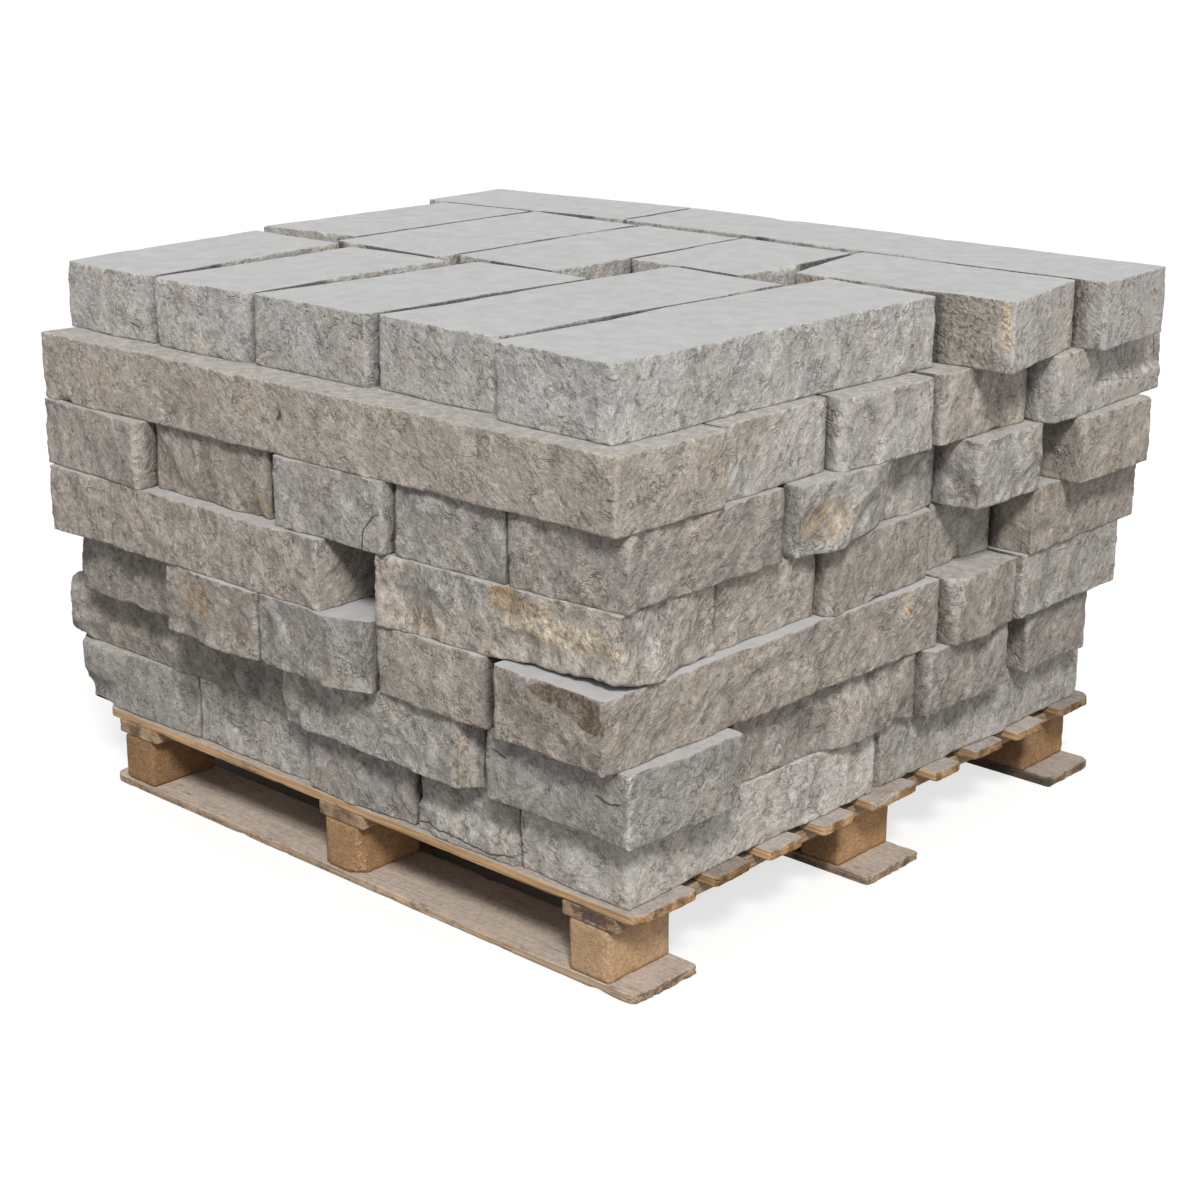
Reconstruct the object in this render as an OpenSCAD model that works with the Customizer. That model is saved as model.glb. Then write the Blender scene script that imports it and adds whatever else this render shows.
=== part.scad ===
// A timber block pallet loaded with seven courses of split-face limestone wall stone.
// Millimetres, +Z up. The origin is the middle of the pallet's underside, on the floor.
// +X runs along the deck boards, and the front of the load looks along -Y.

/* [Pallet] */
// Length of the pallet, along its deck boards
pallet_l = 1140; // [1000:10:1400]
// Width of the pallet, across its deck boards
pallet_w = 1140; // [1000:10:1400]
// Length of a base board
base_board_l = 1125; // [980:5:1400]
// Width of a base board
base_board_w = 128; // [110:1:150]
// Thickness of a base board
base_board_t = 14; // [12:1:25]
// Corner radius on the outer base boards
base_corner_r = 15; // [4:1:30]
// Length of a block, along the base board
block_l = 72; // [66:1:96]
// Height of a block
block_h = 76; // [66:1:110]
// How far a block stands back from the edges of its base board
block_setback = 1; // [0:0.5:6]
// Width of a stringer board
stringer_w = 97; // [80:1:120]
// Thickness of a stringer board
stringer_t = 21; // [15:1:28]
// Distance from the end of the deck to the outer stringer
stringer_inset = 34; // [0:1:60]
// Thickness of a deck board
deck_board_t = 15; // [12:1:25]
// Corner cut on the outer deck boards
deck_corner = 14; // [4:1:30]

/* [Nails] */
// Radius of a nail's shank
nail_r = 1.7; // [1:0.1:2.5]
// Radius of a nail's head
nail_head_r = 3.6; // [3:0.1:5]
// Thickness of a nail's head
nail_head_t = 1.2; // [0.8:0.1:2]
// Length of a nail that is driven down into a block
deck_nail = 80; // [60:1:95]
// Length of a nail that is driven up into a block
base_nail = 55; // [30:1:70]
// Distance along X between the two nails of a joint
nail_spread = 46; // [20:1:54]

/* [Stone] */
// Height of one course of stone
course_h = 102; // [80:1:150]
// Deepest hollow in the split side of a stone
hollow = 7; // [1:0.5:9]
// Length broken off each side at a stone's upright corners
corner_chip = 12; // [10:1:20]
// Spacing of the facets along a split side
facet_l = 110; // [60:5:200]

/* [Hidden] */

// Width of each deck board from the front, and the share of the open space behind it
deck_w = [122, 78, 73, 74, 108, 64, 78, 80, 94];
deck_gap_share = [43, 40, 45, 47, 50, 48, 37, 64];
// How far each board was nailed off the middle, along X
deck_shift = [2, -2, 0, 3, 4, 6, 2, 5, -1];
base_shift = [8, 15, 12];

// Levels of the faces that meet, from the floor up
base_top = base_board_t;
block_top = base_top + block_h;
stringer_top = block_top + stringer_t;
deck_top = stringer_top + deck_board_t;

// Rows across the pallet: a base board and its three blocks
row_y = [for (i = [-1:1]) i * (pallet_w - base_board_w) / 2];
// Columns along the pallet: a stringer and the three blocks under it
column_x = [for (i = [-1:1]) i * (pallet_l / 2 - stringer_inset - stringer_w / 2)];
block_w = base_board_w - 2 * block_setback;

// Middle of each deck board: the boards keep their widths, and the gaps share what is left
function total(list, count) = count == 0 ? 0 : list[count - 1] + total(list, count - 1);
gap_unit = (pallet_w - total(deck_w, 9)) / total(deck_gap_share, 8);
function deck_y(i) =
  -pallet_w / 2 + total(deck_w, i) + gap_unit * total(deck_gap_share, i) + deck_w[i] / 2;

// Each joint has two nails on a diagonal, from above, and two on the other diagonal, from below
function deck_nails_at(i, x) =
  [for (k = [-1, 1]) [x + k * nail_spread / 2, deck_y(i) + k * deck_w[i] / 4]];
function base_nails_at(x, y) =
  [for (k = [-1, 1]) [x + k * nail_spread / 2, y - k * block_w / 4]];
// A nail with a block under it goes into the block, and any other stops in the stringer
function over_block(y) =
  min([for (r = row_y) abs(y - r)]) < block_w / 2 - nail_head_r;
function deck_nail_l(y) = over_block(y) ? deck_nail : deck_board_t + stringer_t;

// The stones of each course, from the deck up. A stone is [left, right, front, back,
// shift of its back edge along X, shift of its right edge along Y].
COURSES = [
  [
    [-612, -340, -570, -160, -5, 4], [-330, -80, -562, -150, 4, 0],
    [-68, 150, -575, -165, 0, 6], [156, 350, -562, -160, 0, -2],
    [357, 552, -565, -22, -3, 0], [-590, -210, -145, 60, 0, 3],
    [-198, 345, -140, 55, 0, 5], [365, 553, -10, 556, 0, 0],
    [-605, -130, 75, 280, 5, -4], [-118, 350, 75, 275, 0, 0],
    [-595, -350, 295, 560, 6, -4], [-340, -90, 290, 570, 0, -4],
    [-80, 130, 290, 566, -3, 0], [142, 350, 290, 552, 0, 4]
  ],
  [
    [-648, -112, -562, -335, 8, -4], [-100, 314, -598, -375, 2, -3],
    [322, 582, -592, -374, 6, -4], [362, 564, -364, 50, 8, 0],
    [-98, 350, -358, -150, 0, 4], [-590, -110, -320, -115, 0, -4],
    [-98, 350, -135, 55, 4, -2], [-600, -110, -98, 105, 4, 0],
    [222, 588, 60, 272, 0, 0], [-98, 210, 70, 278, 0, 0],
    [-606, -122, 120, 280, 0, -5], [-612, -400, 295, 565, 4, 0],
    [-390, -212, 295, 548, 0, 4], [-200, 50, 295, 560, 0, 0],
    [62, 322, 292, 572, 0, 0], [336, 584, 324, 508, 0, 0]
  ],
  [
    [-556, -324, -600, -215, -8, 0], [-316, -98, -636, -224, 0, -4],
    [-90, 122, -634, -226, 4, -4], [130, 342, -612, -218, 0, 4],
    [353, 560, -622, 92, 16, -4], [-140, 342, -204, 20, 0, 2],
    [-600, -150, -200, 25, 0, -4], [202, 602, 102, 266, -8, -2],
    [-250, 188, 35, 262, 0, 0], [-620, -262, 38, 264, 6, -4],
    [250, 600, 276, 565, 0, 4], [10, 238, 276, 560, 0, 0],
    [-240, -2, 276, 572, 0, -4], [-420, -252, 278, 575, 4, 0],
    [-604, -432, 280, 566, 0, -2]
  ],
  [
    [-590, 38, -640, -434, 4, 10], [128, 558, -614, -420, -6, 24],
    [106, 549, -385, -180, -4, 0], [-350, 94, -416, -190, 0, 2],
    [-600, -362, -420, -186, 0, 0], [162, 566, -163, 92, -6, 0],
    [-240, 150, -168, 74, 0, -5], [-612, -252, -172, 72, 4, 0],
    [62, 540, 104, 266, 0, 0], [-560, 50, 88, 262, 0, 0],
    [304, 608, 282, 590, -4, -2], [62, 292, 280, 572, 0, 0],
    [-180, 50, 276, 584, 0, 0], [-422, -192, 276, 562, 0, 0],
    [-638, -434, 276, 575, 6, -4]
  ],
  [
    [-606, -362, -630, -240, 6, -5], [-350, -92, -606, -246, 0, 2],
    [-68, 160, -618, -270, 4, 0], [170, 362, -606, -275, 0, 6],
    [376, 562, -604, -290, 2, 18], [122, 580, -257, -30, 4, -3],
    [-330, 110, -230, -46, 0, -4], [-600, -342, -228, -44, 0, 0],
    [62, 544, -20, 104, 0, 0], [-562, 50, -34, 104, 0, 0],
    [182, 614, 118, 298, -6, 0], [-250, 170, 118, 298, 0, 0],
    [-640, -262, 118, 296, 0, 0], [332, 640, 357, 552, 2, 0],
    [-60, 318, 312, 562, 0, 0], [-330, -72, 312, 576, 0, 0],
    [-612, -342, 312, 566, 4, 0]
  ],
  [
    [-612, 567, -624, -416, 6, 16], [72, 552, -394, -168, 0, 0],
    [-592, 60, -400, -168, 0, 0], [22, 574, -158, 46, 10, 0],
    [-638, 10, -155, 54, 0, -5], [212, 586, 60, 276, 0, 0],
    [-190, 200, 66, 270, 0, 0], [-612, -202, 64, 268, 0, 0],
    [392, 630, 290, 622, -16, 0], [152, 368, 286, 600, 0, 0],
    [-94, 140, 282, 592, 0, 0], [-340, -106, 284, 576, 0, 0],
    [-622, -352, 280, 562, 4, 0]
  ],
  [
    [-612, -404, -566, -148, -45, 2], [-392, -181, -564, -154, -16, 4],
    [-170, 62, -556, -126, 16, 3], [82, 306, -544, 38, 10, -6],
    [318, 526, -568, 108, 14, -8], [-692, -486, -110, 318, -8, 26],
    [-474, -228, -136, 350, -12, -2], [-218, 0, -108, 352, -14, -4],
    [8, 232, 54, 350, -16, -6], [264, 654, 122, 358, -46, 0],
    [-746, -304, 330, 538, -12, 45], [-292, 660, 376, 582, -12, -16]
  ]
];

// Points along one split side of a stone, from near corner a to near corner b.
// The outline runs anticlockwise, so its left-hand side is the inside of the stone.
function split_side(a, b, seed) =
  let (
    side_l = norm(b - a),
    along = (b - a) / side_l,
    inward = [-along.y, along.x],
    steps = max(2, round(side_l / facet_l)),
    depths = rands(0, hollow, steps + 1, seed)
  )
  [for (i = [0:steps])
    a + along * (corner_chip + i / steps * (side_l - 2 * corner_chip)) + inward * depths[i]];

function stone_corners(s) = [
  [s[0], s[2]], [s[1], s[2] + s[5]], [s[1] + s[4], s[3] + s[5]], [s[0] + s[4], s[3]]
];

function stone_outline(s, seed) =
  let (c = stone_corners(s))
  [for (k = [0:3]) each split_side(c[k], c[(k + 1) % 4], seed + k)];

// One course: stones with sawn beds and split sides, standing a joint apart
module course(k) {
  color([0.66, 0.64, 0.61])
    translate([0, 0, deck_top + (k - 1) * course_h])
      for (i = [0:len(COURSES[k - 1]) - 1])
        linear_extrude(course_h)
          polygon(stone_outline(COURSES[k - 1][i], 400 * k + 10 * i));
}

// A nail with its head at the origin and its shank going down. Cut lengthens the head
// upwards, so that the same shape also bores the boards.
module nail(shank_l, cut = 0) {
  translate([0, 0, -shank_l])
    cylinder(r = nail_r, h = shank_l + cut, $fn = 24);
  translate([0, 0, -nail_head_t])
    cylinder(r = nail_head_r, h = nail_head_t + cut, $fn = 24);
}

module deck_nail_set(boards, columns, cut = 0) {
  for (i = boards) for (x = columns) for (p = deck_nails_at(i, x))
    translate([p.x, p.y, deck_top])
      nail(deck_nail_l(p.y), cut);
}

module base_nail_set(columns, rows, cut = 0) {
  for (x = columns) for (y = rows) for (p = base_nails_at(x, y))
    translate([p.x, p.y, 0])
      rotate([180, 0, 0])
        nail(base_nail, cut);
}

module nails() {
  color("dimgray") {
    deck_nail_set([0:8], column_x);
    base_nail_set(column_x, row_y);
  }
}

// What rounding a corner takes off, for the corner at +X +Y of a square
module corner_waste(r) {
  difference() {
    square(r + 1);
    circle(r = r, $fn = 48);
  }
}

// Base boards 1 and 3 are the outer ones, and their outer corners are rounded
module base_board(i) {
  x = base_board_l / 2 - base_corner_r;
  y = base_board_w / 2 - base_corner_r;
  turns = i == 1 ? [180, 270] : i == 3 ? [0, 90] : [];
  color([0.68, 0.61, 0.53])
    difference() {
      translate([base_shift[i - 1], row_y[i - 1], 0])
        linear_extrude(base_board_t)
          difference() {
            square([base_board_l, base_board_w], center = true);
            for (a = turns)
              translate([a == 0 || a == 270 ? x : -x, a < 180 ? y : -y])
                rotate(a)
                  corner_waste(base_corner_r);
          }
      base_nail_set(column_x, [row_y[i - 1]], 1);
    }
}

// Blocks are numbered along X, then along Y
module block(i) {
  x = column_x[(i - 1) % 3];
  row = floor((i - 1) / 3);
  color([0.70, 0.55, 0.39])
    difference() {
      translate([x, row_y[row], base_top + block_h / 2])
        cube([block_l, block_w, block_h], center = true);
      deck_nail_set([4 * row], [x]);
      base_nail_set([x], [row_y[row]]);
    }
}

module stringer(i) {
  x = column_x[i - 1];
  color([0.80, 0.66, 0.50])
    difference() {
      translate([x, 0, block_top + stringer_t / 2])
        cube([stringer_w, pallet_w, stringer_t], center = true);
      deck_nail_set([0:8], [x], 1);
    }
}

// Deck boards 1 and 9 are the outer ones, and their outer corners are cut
module deck_board(i) {
  x = pallet_l / 2;
  y = deck_w[i - 1] / 2;
  front_cut = i == 1 ? deck_corner : 0;
  back_cut = i == 9 ? deck_corner : 0;
  color([0.80, 0.64, 0.45])
    difference() {
      translate([deck_shift[i - 1], deck_y(i - 1), stringer_top])
        linear_extrude(deck_board_t)
          difference() {
            square([2 * x, 2 * y], center = true);
            for (side = [-1, 1]) {
              corner_cut(side * x, -y, front_cut);
              corner_cut(side * x, y, back_cut);
            }
          }
      deck_nail_set([i - 1], column_x, 1);
    }
}

// A square that stands on its corner takes cut off both sides of the corner at x, y
module corner_cut(x, y, cut) {
  if (cut > 0)
    translate([x, y])
      rotate(45)
        square(cut * sqrt(2), center = true);
}

base_board(1);  // base_board_1
base_board(2);  // base_board_2
base_board(3);  // base_board_3
block(1);  // block_1
block(2);  // block_2
block(3);  // block_3
block(4);  // block_4
block(5);  // block_5
block(6);  // block_6
block(7);  // block_7
block(8);  // block_8
block(9);  // block_9
stringer(1);  // stringer_1
stringer(2);  // stringer_2
stringer(3);  // stringer_3
deck_board(1);  // deck_board_1
deck_board(2);  // deck_board_2
deck_board(3);  // deck_board_3
deck_board(4);  // deck_board_4
deck_board(5);  // deck_board_5
deck_board(6);  // deck_board_6
deck_board(7);  // deck_board_7
deck_board(8);  // deck_board_8
deck_board(9);  // deck_board_9
nails();
course(1);  // course_1
course(2);  // course_2
course(3);  // course_3
course(4);  // course_4
course(5);  // course_5
course(6);  // course_6
course(7);  // course_7
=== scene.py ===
import math

import bmesh
import bpy
import numpy as np
from mathutils import Matrix, Vector


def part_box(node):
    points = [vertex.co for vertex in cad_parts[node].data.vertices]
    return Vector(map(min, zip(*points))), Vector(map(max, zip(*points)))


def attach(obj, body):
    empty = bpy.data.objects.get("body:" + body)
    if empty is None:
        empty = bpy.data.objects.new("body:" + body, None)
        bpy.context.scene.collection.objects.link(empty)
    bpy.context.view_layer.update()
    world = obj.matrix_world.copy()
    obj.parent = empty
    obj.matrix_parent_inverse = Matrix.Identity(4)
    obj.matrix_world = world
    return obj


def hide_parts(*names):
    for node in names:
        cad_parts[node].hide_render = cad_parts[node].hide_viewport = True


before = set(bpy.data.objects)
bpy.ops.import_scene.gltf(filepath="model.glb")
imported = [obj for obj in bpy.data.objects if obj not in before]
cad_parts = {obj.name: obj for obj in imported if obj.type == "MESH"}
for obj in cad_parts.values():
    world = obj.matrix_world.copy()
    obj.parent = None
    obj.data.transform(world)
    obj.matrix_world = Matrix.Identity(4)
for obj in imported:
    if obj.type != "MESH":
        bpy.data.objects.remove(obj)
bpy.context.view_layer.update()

MM = 0.001
UP = 2  # the number of the Z axis

# ---------------------------------------------------------------------------
# Camera: the viewing angle of the reference, with its focal length and framing
# ---------------------------------------------------------------------------
CAMERA_AT = (2.230, -2.488, 1.365)
CAMERA_AZIMUTH, CAMERA_ELEVATION, CAMERA_ROLL = 43.0, 17.1, 0.1
LENS_MM, SENSOR_MM = 65.4, 36.0
SHIFT_X, SHIFT_Y = 0.031, -0.0205


def direction(azimuth, elevation):
    azimuth, elevation = math.radians(azimuth), math.radians(elevation)
    level = math.cos(elevation)
    return Vector((math.sin(azimuth) * level, -math.cos(azimuth) * level, math.sin(elevation)))


def placed(name, data):
    """A new object in the scene, with this data."""
    made = bpy.data.objects.new(name, data)
    bpy.context.scene.collection.objects.link(made)
    return made


def make_camera():
    """The camera at the reference's place, turned as it is."""
    back, right = direction(CAMERA_AZIMUTH, CAMERA_ELEVATION), direction(CAMERA_AZIMUTH + 90, 0)
    axes = Matrix((right, back.cross(right), back)).transposed()
    data = bpy.data.cameras.new("camera")
    data.lens, data.sensor_width = LENS_MM, SENSOR_MM
    data.shift_x, data.shift_y = SHIFT_X, SHIFT_Y
    camera = placed("camera", data)
    camera.location = CAMERA_AT
    camera.rotation_euler = (axes @ Matrix.Rotation(math.radians(CAMERA_ROLL), 3, "Z")).to_euler()
    bpy.context.scene.camera = camera


# ---------------------------------------------------------------------------
# Noise, on arrays of points. Places are divided by a feature size before the call.
# ---------------------------------------------------------------------------
FACET_CRISP = 12  # how narrow the seams between facets are


def in_mm(*sizes):
    """Millimetres, as metres."""
    return np.array(sizes) * MM


def hashed(cell, seed):
    """A repeatable whole number for each lattice cell."""
    c = cell.astype(np.int64).astype(np.uint32)
    h = c[..., 0] * np.uint32(374761393) + c[..., 1] * np.uint32(668265263)
    h = h + c[..., 2] * np.uint32(2147483647) + np.uint32((seed * 362437 + 1013) % 2**32)
    h = (h ^ (h >> np.uint32(13))) * np.uint32(1274126177)
    h = (h ^ (h >> np.uint32(15))) * np.uint32(2246822519)
    return h ^ (h >> np.uint32(16))


def unit_numbers(h):
    """Three numbers from -1 to 1 out of one hash."""
    bits = [(h >> np.uint32(shift)) & np.uint32(1023) for shift in (0, 10, 20)]
    return np.stack(bits, -1) / 511.5 - 1


def noise(p, seed):
    """Gradient noise, about -1 to 1."""
    cell = np.floor(p)
    f = p - cell
    fade = f * f * f * (f * (f * 6 - 15) + 10)
    total = 0
    for corner in np.ndindex(2, 2, 2):
        corner = np.array(corner)
        gradient = unit_numbers(hashed(cell + corner, seed))
        weight = np.prod(np.where(corner, fade, 1 - fade), -1)
        total = total + weight * np.sum(gradient * (f - corner), -1)
    return total * 1.5


def layers(p, seed, gain=0.5):
    """Noise, with noise twice as fine added, gain times as strong."""
    return noise(p, seed) + gain * noise(p * 2, seed + 17)


def facets(p, seed):
    """Tilted planes around scattered points, blended over a narrow seam, as a broken face has."""
    cell = np.floor(p)
    total, weights = 0, 0
    for step in np.ndindex(3, 3, 3):
        near = cell + np.array(step) - 1
        h = hashed(near, seed)
        offset = p - (near + 0.5 + 0.45 * unit_numbers(h))
        tilt = unit_numbers(hashed(near, seed + 71))
        weight = np.exp(-FACET_CRISP * np.linalg.norm(offset, axis=-1))
        total = total + weight * np.sum(tilt * offset, -1)
        weights = weights + weight
    return total / weights


def along_loop(circle, size, seed):
    """Noise along a closed outline, with features of one size.

    The places are those of resampled, on a circle, so that the noise meets itself.
    """
    return noise(circle / size + 0.37, seed)


def smoothstep(x, low, high):
    t = np.clip((x - low) / (high - low), 0, 1)
    return t * t * (3 - 2 * t)


# ---------------------------------------------------------------------------
# Outlines, read from the CAD nodes
# ---------------------------------------------------------------------------
CORNER_CUT_L = 30 * MM  # a side shorter than this is a cut corner


def signed_area(loop):
    x, y = loop[:, 0], loop[:, 1]
    return 0.5 * np.sum(x * np.roll(y, -1) - np.roll(x, -1) * y)


def foot_loops(bm, verts, low):
    """The closed loops of edges where the walls of one solid meet its underside."""
    edges = {}
    for v in verts:
        for e in v.link_edges:
            level = all(abs(w.co.z - low) < 1e-5 for w in e.verts)
            if level and any(abs(f.normal.z) < 0.5 for f in e.link_faces):
                edges[e.index] = e
    loops = []
    while edges:
        _, e = edges.popitem()
        start, v = e.verts
        loop = [start.co.xy[:]]
        while v is not start:
            loop.append(v.co.xy[:])
            e = next(n for n in v.link_edges if n.index in edges)
            del edges[e.index]
            v = e.other_vert(v)
        loops.append(np.array(loop))
    return loops


def solids_of(node):
    """Each solid of a CAD node as (outline, anticlockwise; low level; high level), in metres."""
    bm = bmesh.new()
    bm.from_mesh(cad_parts[node].data)
    bmesh.ops.remove_doubles(bm, verts=bm.verts, dist=1e-5)
    bm.edges.index_update()
    bm.normal_update()
    todo, found = set(bm.verts), []
    while todo:
        stack = [todo.pop()]
        part = list(stack)
        while stack:
            for e in stack.pop().link_edges:
                for w in e.verts:
                    if w in todo:
                        todo.remove(w)
                        part.append(w)
                        stack.append(w)
        low = min(v.co.z for v in part)
        high = max(v.co.z for v in part)
        outline = max(foot_loops(bm, part, low), key=lambda loop: abs(signed_area(loop)))
        if signed_area(outline) < 0:
            outline = outline[::-1]
        first = min(range(len(outline)), key=lambda i: tuple(outline[i].round(4)))
        found.append((np.roll(outline, -first, 0), low, high))  # the same start in each run
    bm.free()
    return sorted(found, key=lambda s: (round(s[0][:, 1].min(), 2), s[0][:, 0].min()))


def with_sharp_corners(outline):
    """The outline with its short corner cuts taken back to the corner that the sides aim at."""
    steps = np.roll(outline, -1, 0) - outline
    cuts = np.flatnonzero(np.linalg.norm(steps, axis=1) < CORNER_CUT_L)
    sides = []
    for a, b in zip(cuts, np.roll(cuts, -1)):
        count = (b - a) % len(outline)
        sides.append(outline[(a + 1 + np.arange(count)) % len(outline)])
    points = []
    for side, following in zip(sides, sides[1:] + sides[:1]):
        d1, d2 = side[-1] - side[0], following[-1] - following[0]
        gap = following[0] - side[0]
        t = (gap[0] * d2[1] - gap[1] * d2[0]) / (d1[0] * d2[1] - d1[1] * d2[0])
        points.extend([*side, side[0] + t * d1])
    return np.array(points)


def resampled(outline, step):
    """Points a step apart along the outline, and their places on a circle as long as it."""
    closed = np.vstack([outline, outline[:1]])
    s = np.concatenate([[0], np.cumsum(np.linalg.norm(np.diff(closed, axis=0), axis=1))])
    count = max(12, int(round(s[-1] / step)))
    at = np.arange(count) * s[-1] / count
    turn = 2 * np.pi * at / s[-1]
    circle = np.stack([np.cos(turn), np.sin(turn), 0 * turn], 1) * s[-1] / (2 * np.pi)
    return np.stack([np.interp(at, s, closed[:, k]) for k in (0, 1)], 1), circle


def smoothed(points, spread):
    """Each point moved to the weighted middle of its neighbours, spread points to each side."""
    reach = int(3 * spread) + 1
    offsets = np.arange(-reach, reach + 1)
    weights = np.exp(-0.5 * (offsets / spread) ** 2)
    weights /= weights.sum()
    return sum(w * np.roll(points, -k, 0) for k, w in zip(offsets, weights))


def turned(vectors):
    """Unit vectors a right angle clockwise from these."""
    unit = vectors / np.linalg.norm(vectors, axis=1)[:, None]
    return np.stack([unit[:, 1], -unit[:, 0]], 1)


def outward(points, spread):
    """Outward vectors that turn gradually round the corners, lengthened there as a mitre is."""
    soft = smoothed(points, spread)
    normal = turned(np.roll(soft, -1, 0) - np.roll(soft, 1, 0))
    side = turned(np.roll(points, -1, 0) - points)
    share = np.minimum(np.sum(normal * side, 1), np.sum(normal * np.roll(side, 1, 0), 1))
    return normal / np.clip(share, 0.65, 1)[:, None]


def inside(points, outline):
    """Which of the points are inside the outline."""
    hit = np.zeros(len(points), bool)
    for a, b in zip(outline, np.roll(outline, -1, 0)):
        spans = (a[1] > points[:, 1]) != (b[1] > points[:, 1])
        x = a[0] + (points[:, 1] - a[1]) * (b[0] - a[0]) / (b[1] - a[1] + 1e-12)
        hit ^= spans & (points[:, 0] < x)
    return hit


# ---------------------------------------------------------------------------
# Meshes
# ---------------------------------------------------------------------------
class Batch:
    """Vertices, faces and point values of several closed solids that become one piece."""

    def __init__(self):
        self.points, self.loops, self.sizes, self.smooth = [], [], [], []
        self.values = {}
        self.count = 0

    def add_prism(self, rings, values):
        """Rings of points from the bottom up, all with as many points, closed by two flat faces."""
        rows, columns = rings.shape[:2]
        index = self.count + np.arange(rows * columns).reshape(rows, columns)
        after = np.roll(index, -1, 1)
        quads = np.stack([index[:-1], after[:-1], after[1:], index[1:]], -1).reshape(-1)
        self.loops += [quads, index[0][::-1], index[-1]]
        sides = (rows - 1) * columns
        self.sizes += [np.full(sides, 4), [columns, columns]]
        level = np.ptp(rings[-2:, :, UP]) < 1e-6  # a last ring that lies inside the top
        self.smooth += [np.arange(sides) < sides - level * columns, [False, False]]
        self.points.append(rings.reshape(-1, 3))
        for name, value in values.items():
            self.values.setdefault(name, []).append(value.reshape(rows * columns, -1))
        self.count += rows * columns

    def make(self, name, material, *nodes, slot):
        """The piece, which stands in for CAD nodes and takes the material; its slot is not used."""
        sizes = np.concatenate(self.sizes).astype(np.int32)
        mesh = bpy.data.meshes.new(name)
        mesh.vertices.add(self.count)
        mesh.vertices.foreach_set("co", np.concatenate(self.points).astype(np.float32).ravel())
        mesh.loops.add(int(sizes.sum()))
        mesh.loops.foreach_set("vertex_index", np.concatenate(self.loops).astype(np.int32))
        mesh.polygons.add(len(sizes))
        starts = np.concatenate([[0], np.cumsum(sizes)[:-1]]).astype(np.int32)
        mesh.polygons.foreach_set("loop_start", starts)
        mesh.polygons.foreach_set("use_smooth", np.concatenate(self.smooth))
        for key, parts in self.values.items():
            value = np.concatenate(parts).astype(np.float32)
            kind, field = {
                1: ("FLOAT", "value"), 3: ("FLOAT_VECTOR", "vector"), 4: ("FLOAT_COLOR", "color"),
            }[value.shape[1]]
            mesh.attributes.new(key, kind, "POINT").data.foreach_set(field, value.ravel())
        mesh.update(calc_edges=True)
        mesh.validate()
        mesh.materials.append(material)
        piece = placed(name, mesh)
        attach(piece, "root")
        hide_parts(*nodes)


def coloured(colour, alpha, shape):
    """One colour for every point of a grid, with its own alpha."""
    value = np.empty((*shape, 4))
    value[..., :3] = colour
    value[..., 3] = alpha
    return value


# ---------------------------------------------------------------------------
# Stone
# ---------------------------------------------------------------------------
STONE_STEP = 4.2 * MM
HIDING_GAPS = (14 * MM, 28 * MM)  # a neighbour at one of these distances hides a side
HIDDEN_SHARE = 0.04  # a point less open to view than this counts as hidden
HIDDEN_KEEP = 6  # one point in so many stays where a neighbour hides the side
AWAY_KEEP = 2  # and on the sides that face away from the camera
WALL_ROWS = np.array([0, 1, 2.6, 5, 8, *np.arange(12.5, 90, 4.4), 94, 97, 99.4, 101, 102]) * MM
HIDDEN_ROWS = np.array([0, 3, 35, 68, 99, 102]) * MM
WIDEST_JOINT = 24  # mm
JOINT_HOLLOW = 4.5 * MM  # what a side that a neighbour hides counts as in depth, which paints shade on it
CORNER_TURN = math.radians(35)  # a sharper turn of the outline is a corner

# The tints of split faces, of the stains on them and on the timber, and of painted shade
TINT = {
    "clear": (0.49, 0.466, 0.431), "warm": (0.48, 0.434, 0.386), "taupe": (0.46, 0.42, 0.38),
    "cool": (0.462, 0.440, 0.412), "fresh": (0.50, 0.488, 0.471),
}
# umber_shade is painted shade on faces in shadow, and dark also paints the shade in a small hole
STAIN = {
    "ochre": (0.35, 0.235, 0.125), "gold": (0.60, 0.50, 0.37), "rust": (0.36, 0.19, 0.08),
    "brown": (0.14, 0.095, 0.06), "pale": (0.56, 0.545, 0.52), "blue": (0.32, 0.312, 0.305),
    "dark": (0.06, 0.05, 0.045), "bark": (0.09, 0.055, 0.045), "tar": (0.035, 0.032, 0.03),
    "orange": (0.52, 0.25, 0.08), "dust": (0.50, 0.47, 0.44), "umber_shade": (0.34, 0.30, 0.255),
}


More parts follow.
